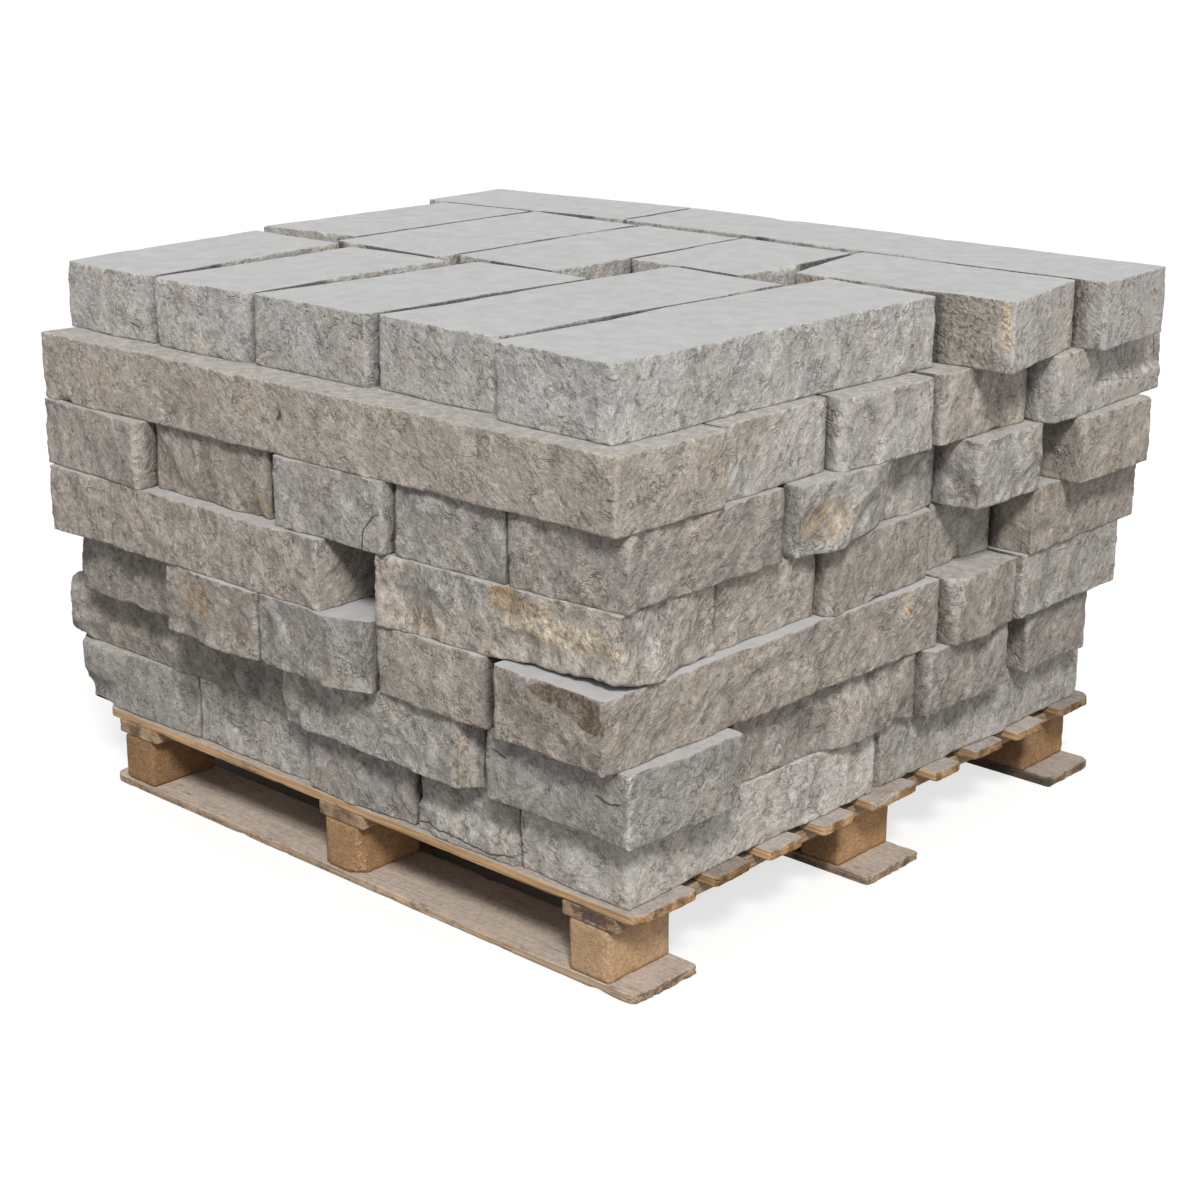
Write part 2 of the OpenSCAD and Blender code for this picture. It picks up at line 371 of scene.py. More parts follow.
class Stone:
    """One stone of a course: its outline at the walls, and which of it the neighbours leave in view."""

    def __init__(self, outline, low, high, seed):
        self.low, self.high, self.seed = low, high, seed
        self.outline = with_sharp_corners(outline)
        self.corner_low, self.corner_high = self.outline.min(0), self.outline.max(0)
        self.size = self.corner_high - self.corner_low

    def place(self, fx, fy):
        """A point of the stone's plan, by its share of the box."""
        return self.corner_low + np.array([fx, fy]) * self.size

    def up(self, points):
        """How high points are, as a share of the stone's height."""
        return (points[..., UP] - self.low) / (self.high - self.low)

    def stretch(self, axis, share, by):
        """Moves the end of the outline at a share of the box along an axis, by so many mm."""
        places = (self.outline[:, axis] - self.corner_low[axis]) / self.size[axis]
        self.outline[:, axis] += by * MM * smoothstep(1 - np.abs(places - share), 0.6, 1)

    def widened(self, others, joint):
        """The outline with each side moved towards a stone across a joint, to leave half this joint."""
        edges = np.roll(self.outline, -1, 0) - self.outline
        normal = turned(edges)
        gap = np.zeros(len(edges))
        for reach in np.arange(WIDEST_JOINT, 1, -1) * MM:
            for other in others:
                gap[inside(self.outline + edges / 2 + normal * reach, other.outline)] = reach
        growth = (np.clip(gap - joint, 0, None) / 2)[:, None] * normal
        before = np.roll(growth, 1, 0)
        square = np.abs(np.sum(normal * np.roll(normal, 1, 0), 1)) < 0.7
        return self.outline + (growth + before) * np.where(square, 1, 0.5)[:, None]

    def find_corners(self):
        """Keeps the points where the outline turns sharply."""
        steps = np.roll(self.outline, -1, 0) - self.outline
        heading = np.arctan2(steps[:, 1], steps[:, 0])
        turn = np.abs((heading - np.roll(heading, 1) + np.pi) % (2 * np.pi) - np.pi)
        self.corners = self.outline[turn > CORNER_TURN]

    def see(self, others):
        """Makes the points of the walls, and finds how open to view each of them is."""
        random = np.random.default_rng(self.seed)
        line, self.circle = resampled(self.outline, STONE_STEP)
        line = smoothed(line, random.uniform(0.3, 0.6))
        normal = outward(line, 1.4)
        hidden = np.zeros(len(line), bool)
        for reach in HIDING_GAPS:
            for other in others:
                hidden |= inside(line + normal * reach, other.outline)
        open_share = smoothed((~hidden).astype(float), 2)
        self.in_view = not hidden.all()
        away = (normal[:, 0] < -0.5) | (normal[:, 1] > 0.5)
        every = np.where(open_share > HIDDEN_SHARE, np.where(away, AWAY_KEEP, 1), HIDDEN_KEEP)
        keep = np.arange(len(line)) % every == 0
        self.line, self.normal = line[keep], normal[keep]
        self.circle, self.open = self.circle[keep], open_share[keep]
        self.find_corners()


def arris_wear(stone, seed, soft, tall):
    """How far the wear of a bed's arris goes back, and how high it reaches, along the outline."""
    gentle = soft * (1 + 0.8 * along_loop(stone.circle, 45 * MM, seed))
    small = 8 * np.clip(along_loop(stone.circle, 15 * MM, seed + 1) - 0.42, 0, 1)
    large = 30 * np.clip(along_loop(stone.circle, 62 * MM, seed + 2) - 0.5, 0, 1)
    back = (np.maximum(gentle, 0.4) + small + large) * MM
    high = back * (tall + 0.4 * along_loop(stone.circle, 30 * MM, seed + 3)) + 0.4 * MM
    return back, high


def break_edges(stone, back, high, breaks, edge):
    """Adds the stone's own breaks to the wear of an edge.

    A break is (edge, place x, place y, reach x, reach y, depth, height), from the reach on in mm.
    """
    for kind, fx, fy, reach_x, reach_y, depth, height in breaks:
        if kind != edge:
            continue
        away = np.linalg.norm((stone.line - stone.place(fx, fy)) / in_mm(reach_x, reach_y), axis=1)
        ragged = 1 + 0.35 * along_loop(stone.circle, 16 * MM, stone.seed + 5)
        share = np.clip(1.15 - away, 0, 1) * ragged
        back[:] = np.maximum(back, share * depth * MM)
        high[:] = np.maximum(high, share * height * MM)


def scars_of(stone, look):
    """Shells that flakes left: (place in plan, share of the height, reach, height, depth), in mm."""
    scars = [(stone.place(fx, fy), *rest) for fx, fy, *rest in look.get("scars", [])]
    random = np.random.default_rng(stone.seed + 4)
    in_view = stone.line[stone.open > 0.6]
    if len(in_view):
        for _ in range(random.integers(1, 5)):
            reach = random.uniform(25, 65)
            spot = in_view[random.integers(len(in_view))]
            share, height = random.uniform(0, 1), reach * random.uniform(0.4, 1)
            scars.append((spot, share, reach, height, random.uniform(1, 4)))
    return scars


def cut_corner(ring, corner, heading, depth):
    """Brings what stands past a plane across a corner back to it, and says how far it came."""
    aim = np.array([math.cos(heading), math.sin(heading)])
    over = np.clip((ring[..., :2] - corner) @ aim + depth, 0, None)
    ring[..., :2] -= over[..., None] * aim
    return over


def cut_corners(stone, ring, cuts):
    """Rubs off every upright arris a little, and makes the stone's own cuts.

    A cut is (place x, place y, heading in degrees, depth at the bottom, depth at the top in mm).
    """
    rubbed = 0
    middle = stone.outline.mean(0)
    for number, corner in enumerate(stone.corners):
        aim = corner - middle
        heading = math.atan2(np.sign(aim[1]), np.sign(aim[0]))
        place = ring[:, :1] * np.array([0, 0, 1]) / (30 * MM) + number
        depth = 1.6 + 3.4 * noise(place, stone.seed + 6) + 2.0 * layers(ring / (9 * MM), stone.seed + 13)
        rubbed = rubbed + cut_corner(ring, corner, heading, np.clip(depth, 0.5, None) * MM)
    up = stone.up(ring[:, :1])
    for fx, fy, degrees, low_depth, high_depth in cuts:
        ragged = 1.5 * layers(ring / (14 * MM), stone.seed + 12)
        depth = (low_depth + (high_depth - low_depth) * up + ragged) * MM
        cut_corner(ring, stone.place(fx, fy), math.radians(degrees), depth)
    return rubbed


def wall_relief(stone, base, grain, look):
    """How far the split wall stands out from the outline, in metres, at each point of its rows."""
    rough, up = look["rough"], stone.up(base)
    swell = along_loop(stone.circle, 170 * MM, stone.seed + 7) * 1.5 + look.get("bulge", 0.8)
    relief = swell[None] * (1 - (2 * up - 1) ** 2)
    relief = relief + 2.0 * rough * layers(grain / (95 * MM), stone.seed)
    relief = relief + 4.0 * rough * facets(grain / in_mm(110, 60, 60), stone.seed + 3)
    relief = relief + 1.7 * rough * facets(grain / in_mm(45, 20, 20), stone.seed + 4)
    relief = relief + 0.8 * rough * layers(grain / in_mm(20, 9, 9), stone.seed + 9, 0.6)
    if "profile" in look:
        heights, stand_out = zip(*look["profile"])
        relief = relief + np.interp(up, heights, stand_out)
    for start, foot, depth in look.get("steps", []):
        along = (base[..., 1] - stone.corner_low[1]) / stone.size[1]
        ragged = 0.05 * layers(grain / (30 * MM), stone.seed + 14)
        share = smoothstep(along + ragged, start, start + 0.07) * smoothstep(up + ragged, foot, foot + 0.16)
        relief = relief - depth * share * smoothstep(stone.normal[:, 0], 0.3, 0.8)[None]
    for spot, share, reach, height, depth in scars_of(stone, look):
        away = np.linalg.norm(base[..., :2] - spot, axis=-1) / (reach * MM)
        rise = (up - share) * (stone.high - stone.low) / (height * MM)
        relief = relief - depth * np.clip(1 - away**2 - rise**2, 0, 1)
    inward = np.minimum(relief, 0) * 0.4 - 1.0
    return (stone.open * relief + (1 - stone.open) * inward) * MM


def stone_rings(stone, look):
    """The rings of points of a stone's walls before and after relief, their grain, wear, and the hollows that
    set the painted shade.
    """
    rows = WALL_ROWS if stone.in_view else HIDDEN_ROWS
    rows = rows * (stone.high - stone.low) / rows[-1]
    random = np.random.default_rng(stone.seed + 1)
    along = Vector(np.array([1, -1, -0.75]) + random.uniform(-0.35, 0.35, 3)).normalized()
    turn = along.to_track_quat("X", "Z").to_matrix()
    base = np.empty((len(rows), len(stone.line), 3))
    base[..., :2] = stone.line[None]
    base[..., UP] = stone.low + rows[:, None]
    grain = base @ np.array(turn) + random.uniform(-5, 5, 3)  # along its X the stone splits in strokes

    relief = wall_relief(stone, base, grain, look)
    wear = 0
    for edge, height, number, soft, tall in (
        ("bottom", rows, 40, 2.2, 0.6), ("top", rows[-1] - rows, 20, 0.9, 0.95),
    ):
        back, high = arris_wear(stone, stone.seed + number, soft, tall)
        break_edges(stone, back, high, look.get("breaks", []), edge)
        t = np.clip(1 - height[:, None] / high[None], 0, 1)
        wear = wear + back[None] * t**1.3
    relief = relief - wear
    ring = base.copy()
    ring[..., :2] += stone.normal[None] * relief[..., None]
    rubbed = cut_corners(stone, ring, look.get("cuts", []))
    # The hollows, deepest on the sides that neighbours hide, set painted shade and painted highlight in the
    # material
    cavity = relief - smoothed(relief.T, 3).T - (1 - stone.open) * JOINT_HOLLOW
    return base, ring, grain, cavity, wear + 2 * rubbed * np.clip(2 * stone.open - 1, 0, 1)


def distance_to(places, line):
    """How far places are from a point, from a line, or from a filled outline of three points or more."""
    starts = line[:1] if len(line) == 2 else line
    nearest = np.full(places.shape[:-1], np.inf)
    for a, b in zip(starts, np.roll(line, -1, 0)):
        t = np.clip((places - a) @ (b - a) / max((b - a) @ (b - a), 1e-9), 0, 1)
        nearest = np.minimum(nearest, np.linalg.norm(places - a - t[..., None] * (b - a), axis=-1))
    if len(line) > 2:
        nearest[inside(places.reshape(-1, 2), line).reshape(nearest.shape)] = 0
    return nearest


def along_and_out(side, normal):
    """The axis that runs along a side, and how squarely each normal points out of that side."""
    return (0, -normal[:, 1]) if side == "front" else (1, normal[:, 0])


def stain_and_shade_mask(points, normal, low, high, stains):
    """The colour and strength of stains, and of painted shade, at each point of a wall.

    A stain is (side, colour, strength, reach past its outline in mm, outline). The outline gives
    places on that side as shares along it and up it, and may be one point or a line.
    """
    value = coloured(STAIN["ochre"], 0.0, points.shape[:2])
    for side, colour, strength, reach, outline in stains:
        along, out = along_and_out(side, normal)
        axes = [along, UP]
        outline = np.array(outline) * (high - low)[axes]
        away = distance_to(points[..., axes] - low[axes], outline) / (reach * MM)
        share = strength * np.clip(1.2 - away, 0, 1) * np.clip(2.5 * out, 0, 1)
        value[share > value[..., 3], :3] = STAIN[colour]
        value[..., 3] = np.maximum(value[..., 3], share)
    return value


def crack_lines(stone, base, cracks):
    """The distance to the nearest crack in mm, signed by its side, how open it is, and if it is dashed.

    A crack is (side, way, points), and may end with "dashed". A level one gives heights along the
    side, and an upright one gives places along the side over the height, all as shares.
    """
    distance, opened, dashed = (np.full(base.shape[:2], value) for value in (60.0, 0.0, 0.0))
    up = stone.up(base)
    for side, way, points, *kind in cracks:
        axis, out = along_and_out(side, stone.normal)
        along = (base[..., axis] - stone.corner_low[axis]) / stone.size[axis]
        where, level = zip(*points)
        if way == "level":
            run, off = along, (up - np.interp(along, where, level)) * (stone.high - stone.low)
        else:
            run, off = up, (along - np.interp(up, where, level)) * stone.size[axis]
        within = smoothstep(run, where[0] - 0.03, where[0] + 0.01)
        within = within * (1 - smoothstep(run, where[-1] - 0.01, where[-1] + 0.03)) * (out > 0.5)[None]
        nearer = (np.abs(off / MM) < np.abs(distance)) & (within > 0.05)
        distance[nearer] = (off / MM)[nearer]
        opened[nearer] = within[nearer]
        dashed[nearer] = len(kind)
    return np.stack([distance, opened, dashed], -1)


def add_stone(batch, stone, look):
    """Adds a stone to its course's piece, with what its material needs to know at each point."""
    base, ring, grain, cavity, wear = stone_rings(stone, look)
    random = np.random.default_rng(stone.seed + 2)
    tint = np.array(TINT[look["tint"]])
    tint = tint * look["shade"] * (1 + random.uniform(-0.05, 0.05))
    low, high = np.append(stone.corner_low, stone.low), np.append(stone.corner_high, stone.high)
    batch.add_prism(ring, {
        "grain": grain,
        "tint": coloured(tint, look["bed"], ring.shape[:2]),
        "stain": stain_and_shade_mask(base, stone.normal, low, high, look.get("stains", [])),
        "crack": crack_lines(stone, ring, look.get("cracks", [])),
        # relief carries the hollows, for the material's painted shade and painted highlight
        "relief": np.clip(0.5 + cavity / (3 * MM), -1, 1),
        "worn": np.clip(wear / (6 * MM), 0, 1),
    })


# For each course from the deck up: the tints its stones are drawn from, how dark and how rough
# their split faces are, how dark their beds are, and the joint that stays open, in mm
COURSE_TINTS = [
    ("cool", "clear"), ("taupe", "clear", "cool"), ("clear", "warm", "taupe"),
    ("warm", "clear", "warm"), ("warm", "taupe", "clear"), ("warm", "clear"), ("fresh",),
]
COURSE_SHADES = [0.86, 0.88, 0.85, 0.90, 0.91, 0.96, 1.05]
COURSE_ROUGH = [1.1, 1.15, 1.1, 1.1, 1.1, 0.9, 0.68]
BED_SHADES = [0.80, 0.90, 0.95, 0.88, 0.84, 0.80, 1.0]
COURSE_JOINTS = [3.5, 2.5, 2.5, 2.5, 3, 3, 5.5]

# What sets single stones apart. A stone is named by its course, its row ("front" is counted from
# the left, "right" from the front), and its number in that row. Places are shares of its box. A
# profile gives how far the wall stands out in mm at heights, and a step sets the right side back
# beyond a share along it and above a share of its height, by so many mm.
# Lower shades on some stones, and umber_shade stains, are painted shade; one higher shade is painted light.
LOOKS = {
    (1, "front", 1): dict(
        tint="cool", rough=0.7,
        scars=[(0, 0.1, 0.95, 130, 70, -14), (0, 0, 0.1, 60, 40, 9), (0.95, 0, 0.6, 30, 40, 5)],
    ),
    (1, "front", 2): dict(
        tint="cool", shade=1.0,
        cracks=[
            ("front", "level", [(0.03, 0.74), (0.3, 0.6), (0.6, 0.7), (0.85, 0.62)], "dashed"),
            ("front", "level", [(0.3, 0.36), (0.6, 0.42), (0.9, 0.3)], "dashed"),
            ("front", "level", [(0.2, 0.5), (0.5, 0.3), (0.7, 0.52)], "dashed"),
        ],
    ),
    (1, "front", 3): dict(tint="cool", rough=1.4, shade=0.77),
    (1, "front", 4): dict(
        tint="clear", rough=1.3, profile=[(0, 5), (0.2, 6), (0.34, 4), (0.44, -5), (1, -5)],
        cracks=[("front", "level", [(0, 0.1), (0.4, 0.13), (0.75, 0.05), (1, 0.14)])],
    ),
    (1, "front", 5): dict(tint="clear", shade=1.15),
    (1, "right", 2): dict(tint="clear", cuts=[(1, 0, -60, 14, 0)]), (1, "right", 3): dict(shade=0.8),
    (2, "front", 1): dict(
        tint="taupe", rough=1.2, shade=0.74, profile=[(0, 3), (0.34, 6), (0.48, -2), (1, -4)],
        scars=[(0, 0, 0.6, 90, 60, -12), (0, 0.3, 0.6, 90, 60, -9)],
        breaks=[("top", 0, 0, 60, 160, 16, 26), ("bottom", 0, 0, 60, 160, 12, 16)],
    ),
    (2, "front", 2): dict(
        tint="clear", rough=1.3,
        scars=[(0.05, 0, 0.4, 26, 34, -7), (0.15, 0, 0.5, 20, 30, 4), (0.4, 0, 0.9, 60, 30, 4)],
        cuts=[(1, 0, -38, 36, 30)],
        stains=[
            ("front", "pale", 0.6, 24, [(0.05, 0.3)]),
            # umber_shade paints the shadow on the cut facet at the right end
            ("front", "umber_shade", 1.2, 5, [(0.91, 0), (1, 0), (1, 1), (0.93, 1)]),
        ],
    ),
    (2, "front", 3): dict(
        tint="cool", shade=0.8,
        cracks=[
            ("front", "level", [(0.75, 0.6), (0.82, 0.54), (0.9, 0.58)]),
            ("front", "level", [(0.06, 0.72), (0.13, 0.66)]),
        ],
        stains=[
            ("right", "pale", 0.8, 9, [(0.02, 0), (0.02, 1)]),
            ("right", "pale", 0.5, 30, [(0.2, 0.5), (0.85, 0.5)]),
        ],
    ),
    # This stone and the next two have lower shades, partly painted shade from the overhang above
    (2, "right", 2): dict(
        tint="taupe", shade=0.77, bulge=-3,
        scars=[(1, 0.18, 0.6, 185, 200, 24), (1, 0.7, 1.1, 120, 60, 12), (1, 0.72, 0.3, 90, 50, -6)],
    ),
    (2, "right", 3): dict(shade=0.73), (2, "right", 4): dict(shade=0.69),
    # A lower shade, partly painted shade from the overhang above
    (3, "front", 1): dict(tint="taupe", shade=0.73, profile=[(0, 2), (0.5, 0), (1, -3)]),
    (3, "front", 2): dict(
        tint="warm", rough=1.2, shade=0.8, scars=[(0.75, 0, 0.06, 60, 26, -7), (0.3, 0, 0.1, 30, 26, 5)],
        stains=[
            ("front", "ochre", 0.75, 9, [(0.24, 0.85), (0.46, 0.84), (0.52, 0.67), (0.52, 0.3), (0.3, 0.55)]),
            ("front", "rust", 0.7, 8, [(0.93, 0.42), (0.93, 0.28)]),
            ("front", "pale", 0.5, 16, [(0.5, 0.05), (0.95, 0.06)]),
        ],
    ),
    # A lower shade, partly painted shade
    (3, "front", 3): dict(
        tint="cool", rough=1.5, shade=0.74, cuts=[(1, 0, -70, 20, 24)],
        scars=[(0.08, 0, 0.5, 22, 30, 4), (0.85, 0.03, 0, 50, 30, -12)],
        stains=[
            ("front", "blue", 0.5, 36, [(0.2, 0.8), (0.4, 0.6)]),
            ("front", "gold", 0.5, 15, [(0.05, 0.1), (0.45, 0.02)]),
        ],
    ),
    (3, "front", 4): dict(
        tint="warm", shade=0.93, stains=[("front", "ochre", 0.8, 7, [(0.62, 0.03), (0.95, 0.02)])],
        cracks=[("front", "level", [(0.35, 0.9), (0.5, 0.8), (0.62, 0.84)], "dashed")],
    ),
    (3, "front", 5): dict(
        tint="warm", rough=1.2, shade=0.84, cuts=[(1, 0, -45, 18, 0)],
        scars=[(0.25, 0, 0.25, 50, 36, 5), (0.7, 0, 0.1, 50, 30, 4), (0.41, 0, 0.5, 9, 9, 3)],
        stains=[
            (
                "front", "brown", 1.05, 5,
                [
                    (0.3, 0.88), (0.45, 0.96), (0.72, 0.98), (0.9, 0.93), (0.94, 0.55), (0.8, 0.58),
                    (0.55, 0.75), (0.38, 0.8),
                ],
            ),
            ("front", "brown", 0.8, 7, [(0.41, 0.5)]), ("front", "blue", 0.45, 20, [(0.1, 0.5), (0.1, 0.1)]),
            ("right", "rust", 1.5, 9, [(0.9, 0.72)]), ("right", "gold", 1.0, 20, [(0.895, 0.7)]),
        ],
    ),
    (3, "right", 2): dict(
        tint="warm", rough=1.3, shade=0.75, bed=0.8, breaks=[("top", 1, 0, 34, 34, 10, 12)],
        stains=[
            ("right", "pale", 0.7, 12, [(0, 1), (0.1, 0.6)]),
            # umber_shade darkens the front face: its darker broken stone, and painted shade
            ("front", "umber_shade", 0.6, 20, [(0.4, 0.1), (0.9, 0.3), (0.9, 0.9)]),
        ],
    ),
    (3, "right", 3): dict(tint="clear"),
    (4, "front", 1): dict(
        tint="warm", stains=[("front", "gold", 0.9, 7, [(0, 0), (0.14, 0)])],
        scars=[(0.55, 0, 0.7, 80, 30, 3), (0.8, 0, 0.45, 60, 40, 3)],
    ),
    (4, "front", 2): dict(
        tint="warm", rough=1.5, shade=0.97,
        breaks=[("bottom", 1, 0.1, 210, 60, 46, 11), ("top", 0, 0, 90, 50, 7, 9)],
        scars=[
            (0.2, 0.02, 0.35, 70, 36, 6), (0.62, 0.07, 0.2, 80, 30, 5), (0.9, 0.1, 0.3, 50, 30, 4),
            (1, 0.3, 0, 80, 60, -12),
        ],
        stains=[
            (
                "front", "ochre", 0.85, 7,
                [(0.5, 0.95), (0.57, 1), (0.6, 0.85), (0.73, 0.88), (0.72, 0.75), (0.6, 0.7), (0.5, 0.72)],
            ),
            (
                "front", "gold", 0.9, 16,
                [(0.57, 0.6), (0.7, 0.68), (0.89, 0.65), (0.98, 0.5), (0.8, 0.45), (0.62, 0.5)],
            ),
            ("front", "ochre", 0.55, 12, [(0.07, 0.84), (0.25, 0.8), (0.27, 0.71), (0.14, 0.57)]),
            ("front", "ochre", 0.55, 10, [(0.07, 0.24), (0.22, 0.3), (0.3, 0.04)]),
            ("front", "blue", 0.9, 24, [(0.12, 0.7), (0.27, 0.89), (0.46, 0.92), (0.44, 0.72), (0.3, 0.65)]),
            ("front", "pale", 0.55, 24, [(0.55, 0.2), (0.95, 0.25)]),
            ("front", "gold", 0.5, 14, [(0.2, 0.5), (0.35, 0.55)]), ("front", "rust", 1.1, 5, [(0.99, 0.72)]),
            ("front", "ochre", 0.9, 6, [(0.97, 0.55)]), ("front", "rust", 0.8, 5, [(0.92, 0.62)]),
            ("right", "blue", 0.7, 22, [(0.15, 0.97), (0.64, 0.92), (0.65, 0.6), (0.24, 0.45)]),
        ],
    ),
    (4, "right", 2): dict(
        tint="warm", shade=1.05, stains=[("right", "blue", 0.35, 40, [(0.1, 0.8), (0.4, 0.6)])],
    ),
    # Both of these have lower shades, partly painted shade from the overhangs above
    (4, "right", 3): dict(tint="warm", shade=0.78), (4, "right", 5): dict(tint="warm", shade=0.8),
    (5, "front", 1): dict(tint="taupe"),
    # A lower shade, partly painted shade from the overhang above
    (5, "front", 2): dict(
        tint="warm", shade=0.8, stains=[("front", "ochre", 0.65, 22, [(0.88, 0.3), (1, 0.15)])],
    ),
    (5, "front", 3): dict(
        tint="cool", cuts=[(1, 0, -40, 2, 9)],
        cracks=[
            ("front", "upright", [(0, 0.8), (0.28, 0.82), (0.5, 0.9), (0.56, 0.97)]),
            ("front", "level", [(0.1, 0.46), (0.35, 0.38)], "dashed"),
        ],
        stains=[("front", "pale", 0.6, 18, [(0.93, 0.12), (0.94, 0.4)])],
    ),
    # The first stone here has a lower shade, partly painted shade from the overhang above
    (5, "front", 4): dict(tint="cool", shade=0.85), (5, "front", 5): dict(tint="taupe", shade=0.87),
    (5, "right", 2): dict(
        tint="clear", rough=1.5, cuts=[(1, 0, -40, 26, 5), (1, 1, 18, 30, 12)],
        scars=[(1, 0.1, 0.35, 60, 40, 9), (1, 0.35, 0.62, 50, 30, 6), (1, 0.75, 0.3, 60, 40, 6)],
        breaks=[("bottom", 1, 0.1, 90, 50, 16, 22), ("bottom", 1, 1, 90, 120, 26, 16)],
        stains=[
            (
                "right", "ochre", 0.75, 9,
                [(0.06, 0.57), (0.19, 0.73), (0.44, 0.66), (0.47, 0.38), (0.33, 0.24), (0.1, 0.32)],
            ),
            ("right", "rust", 0.9, 5, [(0.93, 0.83), (0.95, 0.2)]),
            ("right", "blue", 0.5, 14, [(0.55, 0.95), (0.85, 0.8), (0.88, 0.25), (0.6, 0.4)]),
        ],
    ),
    (5, "right", 4): dict(tint="clear", rough=1.5),
    (6, "front", 1): dict(
        tint="warm", scars=[(0.47, 0.03, 0.56, 8, 10, 4), (0.3, 0.02, 0.4, 60, 40, 3)],
        stains=[
            # The first dark stain paints the shade inside the small hole that the first scar makes
            ("front", "dark", 1.5, 4, [(0.468, 0.5), (0.474, 0.62)]),
            ("front", "dark", 1.2, 3, [(0.985, 0.46), (1, 0.46)]),
        ],
    ),
    (6, "right", 2): dict(tint="cool", shade=1.07), (6, "right", 3): dict(tint="cool", shade=1.1),
    # The higher shade is painted light, which lifts the stone out of the overhang's shadow
    (6, "right", 4): dict(tint="warm", shade=0.94),
    (6, "right", 5): dict(
        tint="clear", shade=1.02, steps=[(0.34, 0.3, 12)], scars=[(1, 0.8, 0.95, 100, 50, 5)],
        cracks=[("right", "level", [(0.36, 0.44), (0.65, 0.34), (0.97, 0.2)], "dashed")],
    ),
    (7, "front", 1): dict(cracks=[("front", "level", [(0.82, 0.26), (0.9, 0.2)])]),
    (7, "front", 2): dict(breaks=[("bottom", 1, 0, 24, 40, 8, 24), ("top", 0, 0, 20, 30, 5, 14)]),
    (7, "front", 3): dict(
        shade=0.95, breaks=[("bottom", 1, 0, 20, 40, 7, 20), ("top", 1, 0, 30, 30, 5, 10)],
        cracks=[("front", "level", [(0.38, 0.9), (0.55, 0.86), (0.75, 0.87), (1, 0.82)], "dashed")],
    ),
    (7, "front", 4): dict(
        breaks=[("bottom", 1, 0, 26, 40, 10, 30), ("top", 1, 0, 24, 30, 7, 12)],
        cracks=[("front", "level", [(0.05, 0.91), (0.26, 0.8), (0.52, 0.55)], "dashed")],
    ),
    # In this stone and the next, umber_shade is painted shade that darkens the front face against the lit
    # right face
    (7, "right", 2): dict(
        tint="clear", rough=0.7, shade=1.03,
        stains=[
            ("front", "gold", 1.3, 11, [(0.965, 1), (0.975, 0.4)]),
            ("front", "ochre", 0.7, 5, [(0.965, 1), (0.975, 0.5)]),
            ("front", "umber_shade", 1.1, 24, [(0.05, 0.2), (0.9, 0.2), (0.9, 0.95), (0.05, 0.95)]),
        ],
    ),
    (7, "right", 3): dict(
        tint="fresh", rough=0.8, shade=0.97,
        stains=[("front", "umber_shade", 1.6, 24, [(0.7, 0.1), (0.95, 0.1), (0.95, 0.9), (0.7, 0.9)])],
    ),
}

FRONT_ROW_Y, RIGHT_ROW_X = -0.5, 0.5  # the stones of these rows reach past here

# Ends that stand a little further out than in CAD: (axis, share of the box along it, mm)
STRETCHED = {
    (1, "front", 1): (0, 0, -18), (2, "front", 1): (0, 0, -16), (3, "front", 1): (0, 0, -20),
    (7, "front", 1): (0, 0, -8), (4, "right", 5): (1, 1, 18), (5, "right", 5): (1, 1, 15),
    (6, "right", 5): (1, 1, 16),
}


def course_stones(k):
    """The stones of one course, and the names that LOOKS may call them by."""
    stones = [
        Stone(outline, low, high, 1000 * k + 10 * i)
        for i, (outline, low, high) in enumerate(solids_of(f"course_{k}"))
    ]
    names = {stone: [] for stone in stones}
    front = sorted((s for s in stones if s.corner_low[1] < FRONT_ROW_Y), key=lambda s: s.corner_low[0])
    right = sorted((s for s in stones if s.corner_high[0] > RIGHT_ROW_X), key=lambda s: s.corner_low[1])
    for row, members in (("front", front), ("right", right)):
        for number, stone in enumerate(members, 1):
            names[stone].append((k, row, number))
            if (k, row, number) in STRETCHED:
                stone.stretch(*STRETCHED[k, row, number])
    others = {stone: [other for other in stones if other is not stone] for stone in stones}
    wider = [stone.widened(others[stone], COURSE_JOINTS[k - 1] * MM) for stone in stones]
    for stone, outline in zip(stones, wider):
        stone.outline = outline
    for stone in stones:
        stone.see(others[stone])
    return stones, names


def make_stones(material):
    """Builds the seven courses, each as one piece."""
    for k in range(1, 8):
        stones, names = course_stones(k)
        batch = Batch()
        for stone in stones:
            random = np.random.default_rng(stone.seed + 8)
            look = {
                "tint": random.choice(COURSE_TINTS[k - 1]), "rough": random.uniform(0.75, 1.35),
                "shade": COURSE_SHADES[k - 1], "bed": BED_SHADES[k - 1],
            }
            for name in names[stone]:
                look.update(LOOKS.get(name, {}))
            look["rough"] *= COURSE_ROUGH[k - 1]
            add_stone(batch, stone, look)
        batch.make(f"stones_{k}", material, f"course_{k}", slot="limestone")


# ---------------------------------------------------------------------------
# Timber
# ---------------------------------------------------------------------------
BOARD_STEP = 6.5 * MM
BOARD_ROWS = np.array([0, 0.06, 0.16, 0.32, 0.5, 0.68, 0.84, 0.94, 1, 1])  # shares of the thickness
LAST_RING_IN = 14 * MM  # how far inside the top's edge the last ring may lie
SINK = 0.3 * MM  # how far the worn faces lie under the nail heads


def board_grain(base, seed, along):
    """Places in the wood, with X along the grain, and the pith line near Y = Z = 0."""
    grain = base.copy()
    if along == 1:
        grain[..., 0], grain[..., 1] = base[..., 1], base[..., 0]
    random = np.random.default_rng(seed)
    centre = grain.reshape(-1, 3).mean(0)
    grain = grain - centre * np.array([0, 1, 1])
    grain[..., 0] += random.uniform(-20, 20)
    grain[..., 1] += random.uniform(-0.03, 0.03)
    grain[..., 2] += random.choice([-1, 1]) * random.uniform(0.02, 0.07)
    return grain


